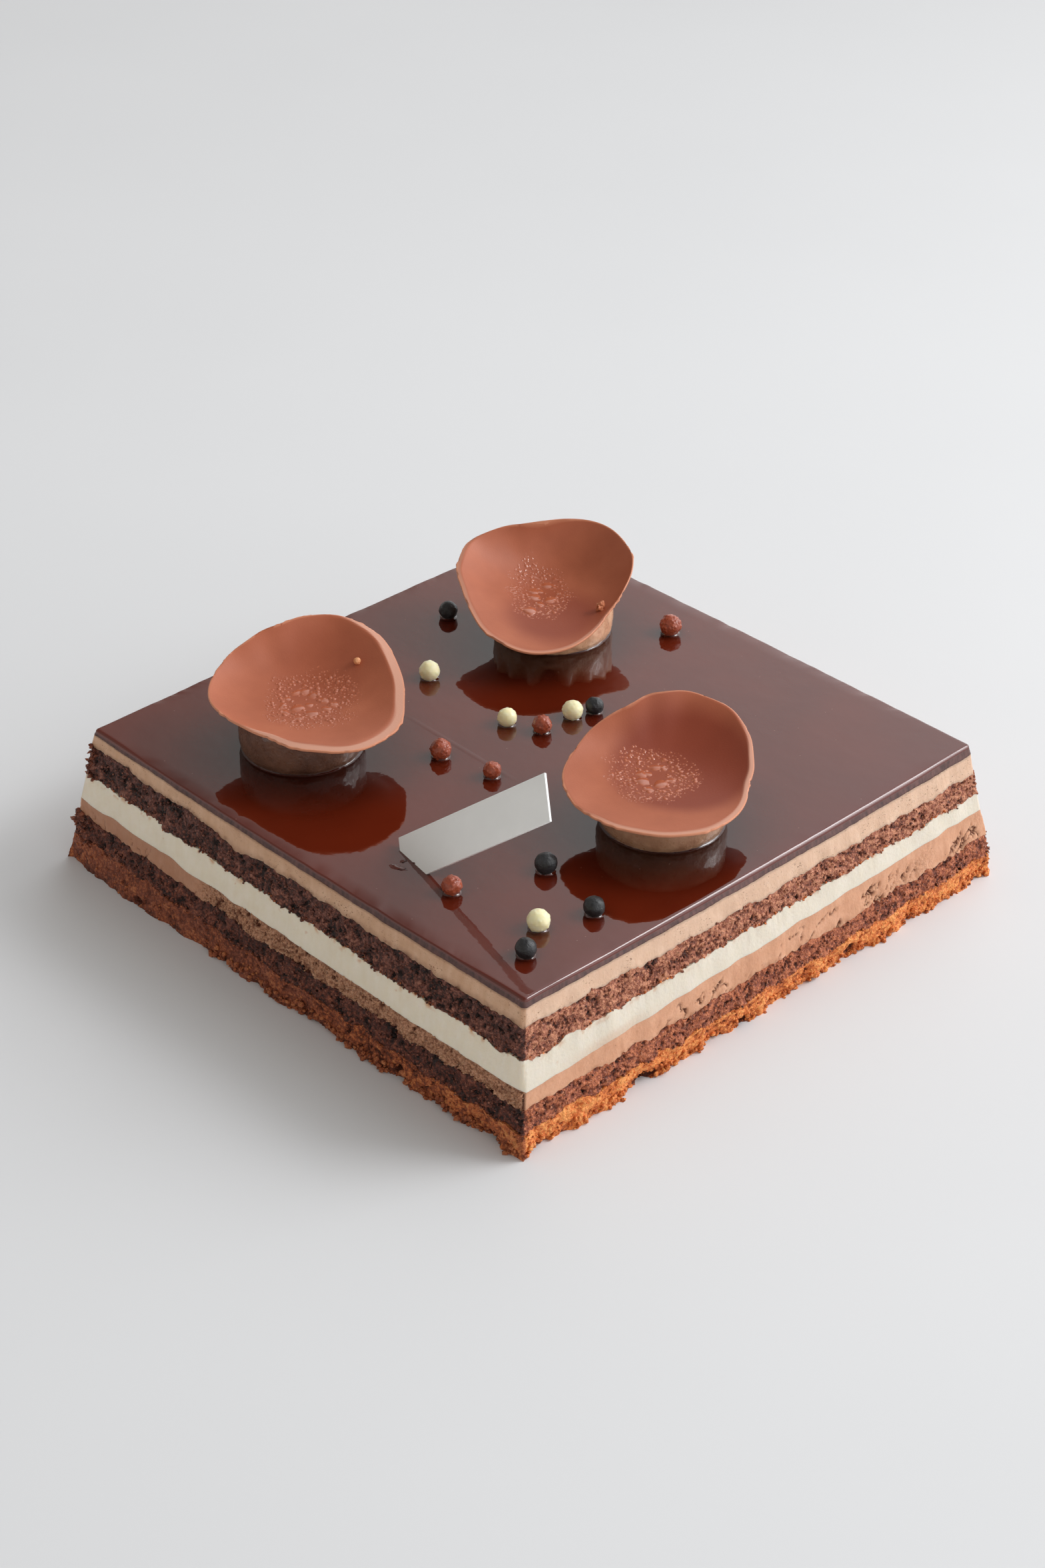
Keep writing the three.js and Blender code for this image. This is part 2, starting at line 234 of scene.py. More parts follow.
class Noise:
    """Seeded noise on arrays of points, in cells of side one."""

    SIZE = 4096
    LEVEL = 5

    def __init__(self, seed):
        generator = np.random.default_rng(seed)
        self.order = generator.permutation(self.SIZE)
        self.values = generator.uniform(-1, 1, (self.SIZE, 4))

    def at(self, cells):
        """Four numbers for each cell. Cells in the plane are those of one level in space."""
        index = 0
        for axis in range(3):
            step = cells[..., axis] if axis < cells.shape[-1] else self.LEVEL
            index = self.order[(index + step) % self.SIZE]
        return self.values[index]

    def smooth(self, points):
        """Soft noise from -1 to 1."""
        base = np.floor(points).astype(int)
        part = points - base
        part = part * part * (3 - 2 * part)
        total = np.zeros(points.shape[:-1])
        for corner in np.ndindex(2, 2, 2):
            weight = np.prod(np.where(np.array(corner) == 1, part, 1 - part), axis=-1)
            total += weight * self.at(base + np.array(corner))[..., 0]
        return total

    def fractal(self, points, octaves=3):
        """Soft noise with finer noise on it."""
        total = np.zeros(points.shape[:-1])
        for octave in range(octaves):
            total += self.smooth(points * 2**octave + 17.3 * octave) / 2**octave
        return total

    def cells(self, points, stray=0.48):
        """Distance to the nearest of one scattered point a cell, and that point's own number."""
        base = np.floor(points).astype(int)
        axes = points.shape[-1]
        nearest = np.full(points.shape[:-1], np.inf)
        number = np.zeros(points.shape[:-1])
        for step in np.ndindex(*[3] * axes):
            cell = base + np.array(step) - 1
            found = self.at(cell)
            centre = cell + 0.5 + stray * found[..., :axes]
            distance = np.linalg.norm(points - centre, axis=-1)
            closer = distance < nearest
            nearest = np.where(closer, distance, nearest)
            number = np.where(closer, found[..., 3], number)
        return nearest, number


noise = Noise(SEED)
random = np.random.default_rng(SEED)


def ramp(value, low, high):
    """Smooth step from 0 at low to 1 at high."""
    part = np.clip((value - low) / (high - low), 0, 1)
    return part * part * (3 - 2 * part)


def bell(value, middle, width):
    """1 at the middle, falling off to both sides."""
    return np.exp(-(((value - middle) / width) ** 2))


def unit(vectors):
    return vectors / np.linalg.norm(vectors, axis=-1, keepdims=True)


def ways_out(turns):
    """Level directions at turns about the vertical."""
    return np.stack([np.cos(turns), np.sin(turns), np.zeros(len(turns))], axis=1)


# Meshes

def quads_of(index):
    """Quads between neighbouring rows and columns of an array of point numbers."""
    corners = [index[:-1, :-1], index[:-1, 1:], index[1:, 1:], index[1:, :-1]]
    return np.stack(corners, axis=-1).reshape(-1, 4)


def ring_quads(rows, columns, start=0):
    """Quads of a tube, closed round, that faces out where its rows rise and columns turn left."""
    index = start + np.arange(rows * columns).reshape(rows, columns)
    return quads_of(np.hstack([index, index[:, :1]]))


def fan(first, columns, middle):
    """Triangles from a ring that starts at first to the point middle."""
    column = np.arange(columns)
    beside = (column + 1) % columns
    return np.stack([first + column, first + beside, np.full(columns, middle)], axis=-1)


def closed(rows, columns, split=()):
    """Faces of stacked rings, closed by two middle points that come after them. There are none in
    the split bands, where two rings lie on each other for a sharp edge."""
    bands = ring_quads(rows, columns).reshape(-1, columns, 4)
    last = (rows - 1) * columns
    return [
        np.delete(bands, split, axis=0).reshape(-1, 4),
        fan(0, columns, last + columns)[:, ::-1],
        fan(last, columns, last + columns + 1),
    ]


def added(name, data):
    """A new object in the scene."""
    made = bpy.data.objects.new(name, data)
    bpy.context.scene.collection.objects.link(made)
    return made


def piece(name, points, faces, material, slot, replaces=(), **attributes):
    """Makes a mesh object from points in millimetres, and gives it its body and finish. An
    attribute has a value for each point, or one for all."""
    mesh = bpy.data.meshes.new(name)
    listed = [face for group in faces for face in group.tolist()]
    mesh.from_pydata((points * MM).tolist(), [], listed)
    mesh.polygons.foreach_set("use_smooth", np.full(len(mesh.polygons), True))
    for label, values in attributes.items():
        layer = mesh.attributes.new(label, "FLOAT", "POINT")
        layer.data.foreach_set("value", np.broadcast_to(values, len(points)).astype(np.float32))
    mesh.materials.append(material)
    mesh.update()
    made = added(name, mesh)
    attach(made, "root")
    if replaces:
        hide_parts(*replaces)


def ball(fineness):
    """Unit directions and faces of a ball."""
    shape = bmesh.new()
    bmesh.ops.create_icosphere(shape, subdivisions=fineness, radius=1)
    points = np.array([vertex.co for vertex in shape.verts])
    faces = np.array([[vertex.index for vertex in face.verts] for face in shape.faces])
    shape.free()
    return points, faces


def corners_of(node):
    """The distinct corners of a frame node, in millimetres."""
    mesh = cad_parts[node].data
    flat = np.empty(3 * len(mesh.vertices))
    mesh.vertices.foreach_get("co", flat)
    return np.unique(np.round(flat.reshape(-1, 3) / MM, 3), axis=0)


def middle_of(node):
    """The middle of a node's box and half its width, in millimetres."""
    low, high = (np.array(corner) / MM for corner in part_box(node))
    return (low + high) / 2, (high - low) / 2


# Materials. Their colours are in display values from 0 to 255.

def colour(tone):
    """A colour in display values, as Blender's linear values."""
    share = np.array(tone) / 255
    linear = np.where(share > 0.04045, ((share + 0.055) / 1.055) ** 2.4, share / 12.92)
    return (*linear.tolist(), 1.0)


class Nodes:
    """Short ways to add nodes to a tree."""

    def __init__(self, tree):
        self.tree = tree

    def feed(self, socket, value):
        if isinstance(value, bpy.types.NodeSocket):
            self.tree.links.new(value, socket)
        else:
            socket.default_value = value

    def node(self, kind, output, *values, **named):
        """Adds a node and gives one of its outputs. Values go to its inputs in turn. What is named
        with a capital is an input, and the rest is a setting."""
        made = self.tree.nodes.new("ShaderNode" + kind)
        for label, value in named.items():
            if label[0].isupper():
                self.feed(made.inputs[label.replace("_", " ")], value)
            else:
                setattr(made, label, value)
        for socket, value in zip(made.inputs, values):
            self.feed(socket, value)
        return made.outputs[output]

    def math(self, operation, first, second):
        return self.node("Math", 0, first, second, operation=operation)

    def span(self, value, low, high, to_low=0.0, to_high=1.0, **settings):
        """A value between low and high, moved to another range."""
        return self.node("MapRange", "Result", value, low, high, to_low, to_high, **settings)

    def tones(self, value, *stops):
        """Colours along a value, each with its place. Those with four parts are linear already."""
        made = self.tree.nodes.new("ShaderNodeValToRGB")
        elements = made.color_ramp.elements
        while len(elements) < len(stops):
            elements.new(1.0)
        for element, (place, tone) in zip(elements, stops):
            element.position = place
            element.color = tone if len(tone) == 4 else colour(tone)
        self.feed(made.inputs["Fac"], value)
        return made.outputs["Color"]


class Finish(Nodes):
    """A material round one Principled shader, in the cake's coordinates. Sizes are millimetres."""

    def __init__(self, name, **constants):
        self.material = bpy.data.materials.new(name)
        self.material.use_nodes = True
        super().__init__(self.material.node_tree)
        self.shader = self.tree.nodes["Principled BSDF"]
        self.place = self.node("TexCoord", "Object")
        self.set(**constants)

    def set(self, **inputs):
        for label, value in inputs.items():
            self.feed(self.shader.inputs[label.replace("_", " ")], value)

    def attribute(self, label):
        return self.node("Attribute", "Fac", attribute_name=label)

    def stretched(self, z, place=None):
        return self.node("Mapping", "Vector", Vector=place or self.place, Scale=(1.0, 1.0, z))

    def texture(self, kind, output, size, place=None, **inputs):
        scale = 1 / (size * MM)
        return self.node("Tex" + kind, output, Vector=place or self.place, Scale=scale, **inputs)

    def noise(self, size, detail=3.0, rough=0.55, place=None, **inputs):
        return self.texture("Noise", "Fac", size, place, Detail=detail, Roughness=rough, **inputs)

    def warped(self, size, amount):
        """Coordinates pushed about by noise."""
        push = self.texture("Noise", "Color", size, Detail=2.0)
        far = (amount * MM,) * 3
        return self.node("VectorMath", "Vector", push, far, self.place, operation="MULTIPLY_ADD")

    def cells(self, size, place=None):
        """Distance from scattered points, one to each cell."""
        return self.texture("Voronoi", "Distance", size, place)

    def grains(self, size):
        """Ragged grains: how high they stand, and how pale they are, with painted shade where they
        sink and a random tone of their own.
        """
        warped = self.warped(1.6 * size, 1.3 * size)
        big = self.span(self.cells(size, warped), 0.1, 0.7, 0.5, 0.0)
        small = self.span(self.cells(0.45 * size, warped), 0.1, 0.7, 0.22, 0.0)
        rag = self.span(self.noise(1.8 * size, 4.0, 0.65), 0.3, 0.7, 0.0, 0.6)
        tall = self.math("ADD", self.math("ADD", big, small), rag)
        own = self.span(self.texture("Voronoi", "Color", size, warped), 0.2, 0.8, -0.1, 0.1)
        return tall, self.math("ADD", self.span(tall, 0.3, 1.05, -0.35, 0.3), own)

    def mix(self, factor, first, second):
        made = self.tree.nodes.new("ShaderNodeMix")
        made.data_type = "RGBA"
        for socket, value in zip((0, 6, 7), (factor, first, second)):
            self.feed(made.inputs[socket], colour(value) if isinstance(value, tuple) else value)
        return made.outputs[2]

    def paled(self, mottle, ends, dark, pale):
        """A dark and a pale pair of mottled colours, mixed by how pale each point is. On a puck
        they are painted shade and painted light; on a lump they are its own colours.
        """
        pairs = [self.tones(mottle, *zip(ends, pair)) for pair in (dark, pale)]
        return self.mix(self.attribute("pale"), *pairs)

    def bump(self, height, depth, normal=None):
        under = {} if normal is None else {"Normal": normal}
        return self.node("Bump", "Normal", Distance=depth * MM, Height=height, **under)


def crumb_finish(name, size, gloss, tones, shaded_tones):
    """Moist crumb, uneven between crumbs: painted shade in its gaps and on its shaded sides,
    painted light on its tops.
    """
    finish = Finish(name, Specular_IOR_Level=0.45)
    tall, pale = finish.grains(size)
    tone = finish.math("ADD", finish.attribute("relief"), pale)
    body = finish.tones(tone, *zip((0.08, 0.36, 0.64, 0.95), tones))
    # The darker palette is painted shade for the shaded sides.
    damp = finish.tones(tone, *zip((0.1, 0.5, 1.0), (tones[0], *shaded_tones)))
    finish.set(
        Base_Color=finish.mix(finish.attribute("damp"), body, damp),
        Roughness=finish.span(finish.noise(0.5 * size, 2.0), 0.38, 0.55, gloss, 0.75),
        Normal=finish.bump(tall, 0.7 * size),
    )
    return finish.material


def mousse_finish(name, tones, pore, pore_size, pore_reach, stain, side_tone):
    """Mousse, softly mottled, with scattered pores, gritty where it crumbled, stained by crumbs,
    with painted shade where its side sinks, and a tone for each side.
    """
    finish = Finish(
        name, Specular_IOR_Level=0.2, Subsurface_Weight=0.3, Subsurface_Scale=1.5 * MM,
        Subsurface_Radius=(1.0, 0.7, 0.45),
    )
    torn = finish.attribute("torn")
    soft = finish.span(finish.noise(5.0, 4.0), 0.3, 0.7, 0.0, 0.65)
    streaks = finish.noise(1.6, 2.0, place=finish.stretched(0.2))
    mottle = finish.math("ADD", soft, finish.span(streaks, 0.3, 0.7, 0.0, 0.35))
    body = finish.tones(mottle, *zip((0.0, 0.5, 1.0), tones))
    tall, pale = finish.grains(0.8)
    grit = finish.math("ADD", pale, 0.5)
    grit = finish.tones(grit, *zip((0.0, 0.36, 0.72), (pore, tones[0], tones[-1])))
    body = finish.mix(torn, body, grit)
    drawn = finish.stretched(1.7, finish.warped(1.2, 1.0))
    many = finish.span(finish.noise(7.0, 2.0), 0.35, 0.65, 0.3, 1.0)
    holes = []
    for size in (pore_size, 0.55 * pore_size):
        own = finish.texture("Voronoi", "Color", size, drawn)
        wide = finish.math("MULTIPLY", finish.span(own, 0.35, 0.8, 0.0, pore_reach), many)
        past = finish.math("SUBTRACT", finish.cells(size, drawn), wide)
        holes.append(finish.span(past, 0.0, -0.12))
    hole = finish.math("MAXIMUM", *holes)
    body = finish.mix(hole, body, pore)
    # Painted shade where the side sinks, in slits and holes.
    body = finish.mix(finish.span(finish.attribute("relief"), 0.42, 0.1), body, pore)
    body = finish.mix(finish.attribute("stain"), body, stain)
    # Side tone: painted shade on the white mousse, painted light on the upper mousse's side 1, and
    # darker towards the -X end of the lower mousse's side 0.
    body = finish.mix(finish.attribute("side_tone"), body, side_tone)
    pitted = finish.bump(finish.math("SUBTRACT", finish.noise(0.9), hole), 0.15)
    finish.set(
        Base_Color=body,
        Roughness=finish.span(finish.noise(2.0, 1.0), 0.3, 0.7, 0.45, 0.65),
        Normal=finish.bump(finish.math("MULTIPLY", tall, torn), 0.65, pitted),
    )
    return finish.material


def glaze_finish():
    """Mirror glaze: still and glossy, with painted shade where it is covered, dull where the knife
    cut it.
    """
    finish = Finish("glaze", IOR=1.64)
    cut = finish.attribute("cut")
    body = finish.tones(finish.noise(30.0, 2.0), (0.35, (90, 27, 11)), (0.65, (98, 31, 13)))
    # Painted shade: the colour darkens where pearls, pucks and petals close the sky off above it.
    open_sky = finish.node("AmbientOcclusion", "AO", samples=6, Distance=22 * MM)
    body = finish.mix(finish.span(open_sky, 0.35, 0.95, 0.85, 0.0), body, (24, 9, 6))
    speck = finish.math("LESS_THAN", finish.cells(5.0), 0.035)
    body = finish.mix(finish.math("MULTIPLY", speck, 0.25), body, (190, 150, 135))
    dragged = finish.noise(1.2, 2.0, place=finish.stretched(0.3))
    dull = finish.tones(dragged, (0.3, (58, 27, 23)), (0.7, (100, 62, 56)))
    still = finish.math("MULTIPLY", finish.noise(7.0, 2.0), finish.math("SUBTRACT", 1.0, cut))
    waves = finish.bump(finish.noise(2.2, 2.0), 0.008, finish.bump(still, 0.04))
    finish.set(
        Base_Color=finish.mix(cut, body, dull),
        Roughness=finish.span(cut, 0.0, 1.0, 0.035, 0.65),
        Normal=finish.bump(finish.math("MULTIPLY", dragged, cut), 0.1, waves),
    )
    return finish.material


def puck_finish():
    """A moist, coated puck, between painted shade and painted light."""
    finish = Finish("puck", Specular_IOR_Level=0.5, Coat_Weight=0.8, Coat_Roughness=0.08)
    mottle = finish.noise(6.0, 4.0, Distortion=0.6)
    dark, pale = ((62, 33, 24), (102, 62, 46)), ((208, 148, 112), (240, 190, 150))
    finish.set(
        Base_Color=finish.paled(mottle, (0.3, 0.72), dark, pale),
        Roughness=finish.span(finish.noise(1.6, 2.0), 0.35, 0.65, 0.25, 0.55),
        Normal=finish.bump(finish.noise(0.8, 4.0), 0.2),
    )
    return finish.material


def petal_finish():
    """Milk chocolate: satin, darker where wet, with painted shade in part of the dish, a painted
    sheen on its flange and a painted highlight along its rim.
    """
    finish = Finish("petal", Specular_IOR_Level=0.4)
    wet, film, flange = (finish.attribute(label) for label in ("wet", "film", "flange"))
    mottle = finish.noise(14.0, 4.0)
    body = finish.tones(
        mottle, (0.3, (170, 93, 63)), (0.55, (179, 100, 69)), (0.8, (187, 108, 76)),
    )
    # Painted shade, where the damp film also makes the dish glossier.
    body = finish.mix(film, body, (136, 56, 33))
    body = finish.mix(finish.math("MULTIPLY", wet, 0.65), body, (162, 82, 53))
    # Painted sheen on the flange and a painted highlight along the rim.
    body = finish.mix(finish.math("MULTIPLY", flange, 0.9), body, (212, 156, 132))
    body = finish.mix(finish.attribute("rim"), body, (216, 146, 112))
    damp = finish.math("MULTIPLY", wet, 0.7)
    damp = finish.math("MAXIMUM", damp, finish.math("MULTIPLY", film, 0.3))
    finish.set(
        Base_Color=body,
        Roughness=finish.span(damp, 0.0, 1.0, 0.52, 0.28),
        Normal=finish.bump(finish.noise(0.5, 3.0), 0.03),
    )
    return finish.material


def mottled(name, size, low, high, ends=(0.35, 0.65), detail=3.0, **constants):
    """A finish with patches of a size between two colours."""
    finish = Finish(name, **constants)
    finish.set(Base_Color=finish.tones(finish.noise(size, detail), *zip(ends, (low, high))))
    return finish


def lump_finish():
    """Chips and beads of chocolate."""
    finish = Finish("lump", Specular_IOR_Level=0.4)
    dark, pale = ((176, 98, 64), (194, 118, 82)), ((216, 144, 96), (232, 168, 120))
    finish.set(
        Base_Color=finish.paled(finish.noise(0.6), (0.3, 0.7), dark, pale),
        Roughness=finish.span(finish.noise(0.4), 0.3, 0.7, 0.4, 0.7),
    )
    return finish.material


def pearl_finish(name, low, high, roughness, depth, glow=0.0):
    """A pearl, rough to a depth and lit from within by its glow."""
    finish = mottled(
        name, 1.8, low, high, (0.3, 0.7), 4.0, Specular_IOR_Level=0.5, Subsurface_Weight=glow,
        Subsurface_Scale=1.5 * MM, Subsurface_Radius=(1.0, 0.9, 0.6),
    )
    finish.set(
        Roughness=finish.span(finish.noise(1.2), 0.3, 0.7, roughness - 0.1, roughness + 0.1),
        Normal=finish.bump(finish.noise(0.45, 3.0), depth),
    )
    return finish.material


def card_finish():
    """Smooth white card."""
    finish = mottled("card", 12.0, (243, 244, 243), (247, 248, 247), Specular_IOR_Level=0.5)
    finish.set(Roughness=finish.span(finish.noise(9.0), 0.3, 0.7, 0.3, 0.36))
    return finish.material


SPONGE = crumb_finish(
    "sponge", 0.95, 0.18, ((30, 12, 8), (94, 47, 34), (156, 89, 65), (208, 141, 108)),
    ((87, 46, 37), (138, 88, 77)),
)
SPONGE_LOWER = crumb_finish(
    "sponge_lower", 0.95, 0.18, ((30, 10, 6), (90, 41, 27), (144, 72, 46), (198, 117, 79)),
    ((88, 41, 29), (138, 80, 62)),
)
CRUNCH = crumb_finish(
    "base_crunch", 1.0, 0.5, ((84, 34, 14), (168, 84, 38), (228, 123, 58), (250, 165, 92)),
    ((128, 66, 46), (176, 104, 72)),
)
FINISHES = {
    "base_crunch": CRUNCH,
    "sponge_lower": SPONGE_LOWER,
    "mousse_lower": mousse_finish(
        "mousse_lower", ((194, 142, 111), (206, 154, 123), (216, 166, 136)),
        (116, 70, 51), 1.5, 0.16, (150, 96, 70), (140, 96, 76),
    ),
    "mousse_white": mousse_finish(
        "mousse_white", ((234, 221, 198), (238, 227, 207), (242, 232, 216)),
        (214, 200, 166), 1.6, 0.13, (205, 140, 84), (196, 188, 176),
    ),
    "sponge_upper": SPONGE,
    "mousse_upper": mousse_finish(
        "mousse_upper", ((198, 156, 125), (208, 168, 138), (218, 181, 152)),
        (158, 116, 88), 1.0, 0.36, (120, 80, 62), (234, 216, 202),
    ),
}
GLAZE = glaze_finish()
PUCK = puck_finish()
PETAL = petal_finish()
DEW_DROPS = mottled(
    "dew", 4.0, (176, 94, 62), (186, 102, 70), Specular_IOR_Level=0.5, Roughness=0.16,
    Coat_Weight=0.6, Coat_Roughness=0.07, Coat_IOR=1.55,
).material
LUMP = lump_finish()
PEARLS = {
    "white": pearl_finish("pearl_white", (244, 232, 186), (249, 241, 206), 0.35, 0.01, 0.9),
    "milk": pearl_finish("pearl_milk", (142, 62, 40), (174, 86, 57), 0.24, 0.12),
    "dark": pearl_finish("pearl_dark", (20, 20, 21), (42, 42, 44), 0.38, 0.16),
}


# The cut sides

# Points of a cut side, and for each the way out, its side, its place along that, and how far up its
# layer it is.
Cut = namedtuple("Cut", "points out side place rise")


def rim_of(lower, upper):
    """The frame's rim between two layers, anticlockwise from the corner at -X -Y."""
    points = corners_of(lower)
    if upper is None:
        points = points[points[:, 2] < SAME]
    else:
        shared = {tuple(point) for point in corners_of(upper)}
        points = np.array([point for point in points if tuple(point) in shared])
    half = HALF + FLARE * (TOP - points[:, 2]) / TOP
    return from_corner(points[np.abs(points[:, :2]).max(axis=1) > RIM_SHARE * half])


def rim_of_top():
    """The frame's ring where the glaze's edge meets its flat top."""
    points = corners_of("glaze")
    points = points[points[:, 2] > TOP - SAME]
    return from_corner(points[np.abs(points[:, :2]).max(axis=1) > TOP_RIM_SHARE * HALF])


def from_corner(points):
    """Points of a ring, anticlockwise from the one nearest the -X -Y diagonal."""
    turn = (np.arctan2(points[:, 1], points[:, 0]) + 3 * math.pi / 4) % (2 * math.pi)
    points = points[np.argsort(turn)]
    away = np.abs(points[:, 0] - points[:, 1]) + np.maximum(points[:, 0], 0)
    return np.roll(points, -int(np.argmin(away)), axis=0)


def through(points, places):
    """A smooth curve through points, at places counted in points from the first."""
    start = np.clip(np.floor(places).astype(int), 0, len(points) - 2)
    part = (places - start)[:, None]
    padded = np.vstack([2 * points[0] - points[1], points, 2 * points[-1] - points[-2]])
    before, first, second, after = (padded[start + i] for i in range(4))
    return 0.5 * (
        2 * first
        + (second - before) * part
        + (2 * before - 5 * first + 4 * second - after) * part**2
        + (3 * first - before - 3 * second + after) * part**3
    )


def fine_rim(rim):
    """The rim with close columns: each side smooth, each corner turned in three steps."""
    count = len(rim) // 4
    fine = []
    for side in range(4):
        run = rim[side * count + 1:(side + 1) * count]
        corner = rim[(side + 1) * count % len(rim)]
        beyond = rim[((side + 1) * count + 1) % len(rim)]
        fine.append(through(run, np.linspace(0, len(run) - 1, SIDE_COLUMNS)))
        fine.append(np.array([(run[-1] + corner) / 2, corner, (corner + beyond) / 2]))
    return np.vstack(fine)


def side_frames(rim):
    """For each close column: the side it is on, its place along that side, and the way out."""
    per_side = SIDE_COLUMNS + CORNER_COLUMNS
    side = np.repeat(np.arange(4), per_side)
    facing = (side - 1) * math.pi / 2
    along = np.stack([-np.sin(facing), np.cos(facing)], axis=1)
    turned = np.maximum(np.arange(len(rim)) % per_side - SIDE_COLUMNS + 1, 0)
    facing = facing + turned * math.pi / 2 / (CORNER_COLUMNS + 1)
    return side, (rim[:, :2] * along).sum(axis=1), ways_out(facing)


def drawn_in(rim, inset):
    """A rim shrunk about the cake's middle line."""
    return rim * np.array([1 - inset / HALF, 1 - inset / HALF, 1])


def jagged(rim, boundary):
    """A fine rim with its boundary's jags and sags."""
    coarse, fine = JAG.get(boundary, (0, 0))
    drop = coarse * noise.fractal(rim / JAG_SCALES[0], 2)
    drop += fine * noise.smooth(rim / JAG_SCALES[1])
    for side, place, width, depth in DIPS.get(boundary, []):
        drop += np.where(SIDE == side, depth * bell(PLACE, place, width), 0)
    return rim - drop[:, None] * UP


def crumb_relief(points, grain):
    """Lumps on lumps with ragged gaps between them. Grain is the size of a crumb."""
    lumps = noise.fractal(points / (2.2 * grain), 3)
    near, _ = noise.cells(points / (0.85 * grain))
    gap = ramp(noise.fractal(points / (1.3 * grain) + 57, 3), 0.35, 0.95)
    return grain * (0.32 * lumps + 0.6 * (0.5 - near) - 0.9 * gap)


def mousse_relief(points, torn, tears):
    """Smooth mousse with knife marks, crumbled or slit where it tore."""
    knife = noise.smooth(points * np.array([1.2, 1.2, 0.4]))
    broad = noise.fractal(points / 14, 2)
    along, up = points[:, 0] + points[:, 1], points[:, 2]
    across, down = 0.32 * (along - 0.7 * up), 0.16 * (up + 0.4 * along)
    drawn = np.stack([across, down, np.zeros(len(up))], axis=1)
    slit = ramp(np.abs(noise.fractal(drawn + 40, 4)), 0.16, 0.02)
    slit *= ramp(noise.fractal(points / 4.5 + 11, 2), -0.4, 0.2)
    relief = 0.12 * broad + 0.02 * knife - 1.9 * tears * slit
    return relief + 1.4 * torn * crumb_relief(points, 1.0)


def torn_share(cut):
    """How far the lower mousse crumbled under the knife, from 0 to 1."""
    patchy = ramp(noise.fractal(cut.points / 16 + 5, 2), 0.0, 0.7)
    left = 0.06 + 0.94 * ramp(cut.place + 6 * patchy, -44, -28)
    right = 0.05 + 0.2 * patchy * ramp(cut.place, 0, 40)
    return np.select([cut.side == 0, cut.side == 1], [left, right], 0.1 + 0.6 * patchy)


def tear_share(cut):
    """How far the lower mousse is slit, from 0 to 1."""
    right = bell(cut.place, 35, 26) + 0.8 * bell(cut.place, -28, 12) + 0.5 * ramp(cut.place, 72, 86)
    return ramp(cut.rise, 0.85, 0.45) * np.select([cut.side == 1, cut.side == 0], [right, 0.2], 0.5)


def hollow_at(cut):
    """How far the single holes and cracks go in."""
    hollow = np.zeros(len(cut.points))
    for on, along, down, width, tall, depth in HOLES:
        away = ((cut.place - along) / width) ** 2 + ((TOP - cut.points[:, 2] - down) / tall) ** 2
        hollow += np.where(cut.side == on, depth * np.exp(-(away**2)), 0)
    return hollow


def stain_of(layer, cut, height):
    """Where crumbs have coloured a mousse: beside the crumbs it touches, and in a smear."""
    spots = ramp(noise.fractal(cut.points / 1.5 + 23, 2), 0.15, 0.8)
    from_top, from_foot = (1 - cut.rise) * height, cut.rise * height
    if layer == "mousse_white":
        fleck, chance = noise.cells(cut.points / 5 + 3)
        flecks = ramp(fleck, 0.1, 0.05) * (chance > 0)
        smear = np.where(cut.side == 1, bell(cut.place, -64, 14), 0) * ramp(cut.rise, 0.45, 0.1)
        return np.clip(0.85 * spots * ramp(from_top, 1.8, 0.1) + 0.5 * flecks + 0.55 * smear, 0, 1)
    if layer == "mousse_upper":
        reach = np.where(cut.side == 1, 0.7, 2.0)
        return (0.35 + 0.4 * spots) * ramp(from_foot, reach, 0.0) + 0.6 * ramp(from_top, 0.8, 0.0)
    return 0.5 * spots * ramp(from_foot, 1.5, 0.0)


def side_tone_share(layer, cut):
    """How far a mousse's side takes its side tone, from 0 to 1: painted shade on the white mousse,
    painted light on the upper mousse's side 1, and darker towards the -X end of the lower mousse's
    side 0.
    """
    if layer == "mousse_white":
        return np.take(SIDE_TONE, cut.side)
    if layer == "mousse_lower":
        return np.where(cut.side == 0, 0.4 * ramp(cut.place, -24, -52), 0)
    return np.where(cut.side == 1, 0.2, 0)


def crumb_side(layer, cut):
    """Relief of a crumbly side, with its painted shade where it sinks and on the shaded sides, and
    its painted light on the lit sides.
    """
    grain = CRUMB[layer]
    left = cut.side == 0
    relief = crumb_relief(cut.points, grain)
    # Painted shade on the shaded sides, stronger towards the top of a sponge, and fading towards +X
    # along the base's side 0.
    damp = np.take(DAMP_AND_SHADE, cut.side) * (0.9 + 0.2 * noise.smooth(cut.points / 6))
    if layer == "base_crunch":
        notch = ramp(noise.fractal(cut.points * np.array([1, 1, 0]) / 3.5, 2), 0.1, 0.8)
        relief = 0.7 * relief + 0.4 * noise.fractal(cut.points / 5 + 31, 2)
        rough = np.take(BASE_ROUGH, cut.side) + np.where(left, 0.7 * ramp(cut.place, -30, 30), 0)
        relief = (relief - 0.9 * notch * ramp(cut.rise, 0.45, 0.0)) * rough
        damp *= np.where(left, 1 - 0.45 * ramp(cut.place, -10, 70), 1)
    else:
        damp *= 0.8 + 0.25 * ramp(cut.rise, 0.25, 0.75)
    # Painted shade where the relief sinks, and painted light on the lit sides.
    shade = 0.6 + 0.7 * relief / grain + np.take(CRUMB_PAINTED_LIGHT, cut.side)
    return relief, {"relief": shade, "damp": np.clip(damp, 0, 1)}


def mousse_side(layer, cut, height):
    """Relief of a mousse's side, its painted shade where it sinks, how stained and torn it is, and
    how far it takes its side tone.
    """
    lower = layer == "mousse_lower"
    torn = torn_share(cut) if lower else np.zeros(len(cut.points))
    relief = mousse_relief(cut.points, torn, tear_share(cut) if lower else 0)
    if lower:
        relief *= ramp((1 - cut.rise) * height, 0, 0.8)
    elif layer == "mousse_white":
        relief *= ramp(cut.rise * height, 0, 0.8)
    stain, side_tone = stain_of(layer, cut, height), side_tone_share(layer, cut)
    return relief, {"relief": 0.55 + relief / 1.4, "stain": stain, "torn": torn, "side_tone": side_tone}


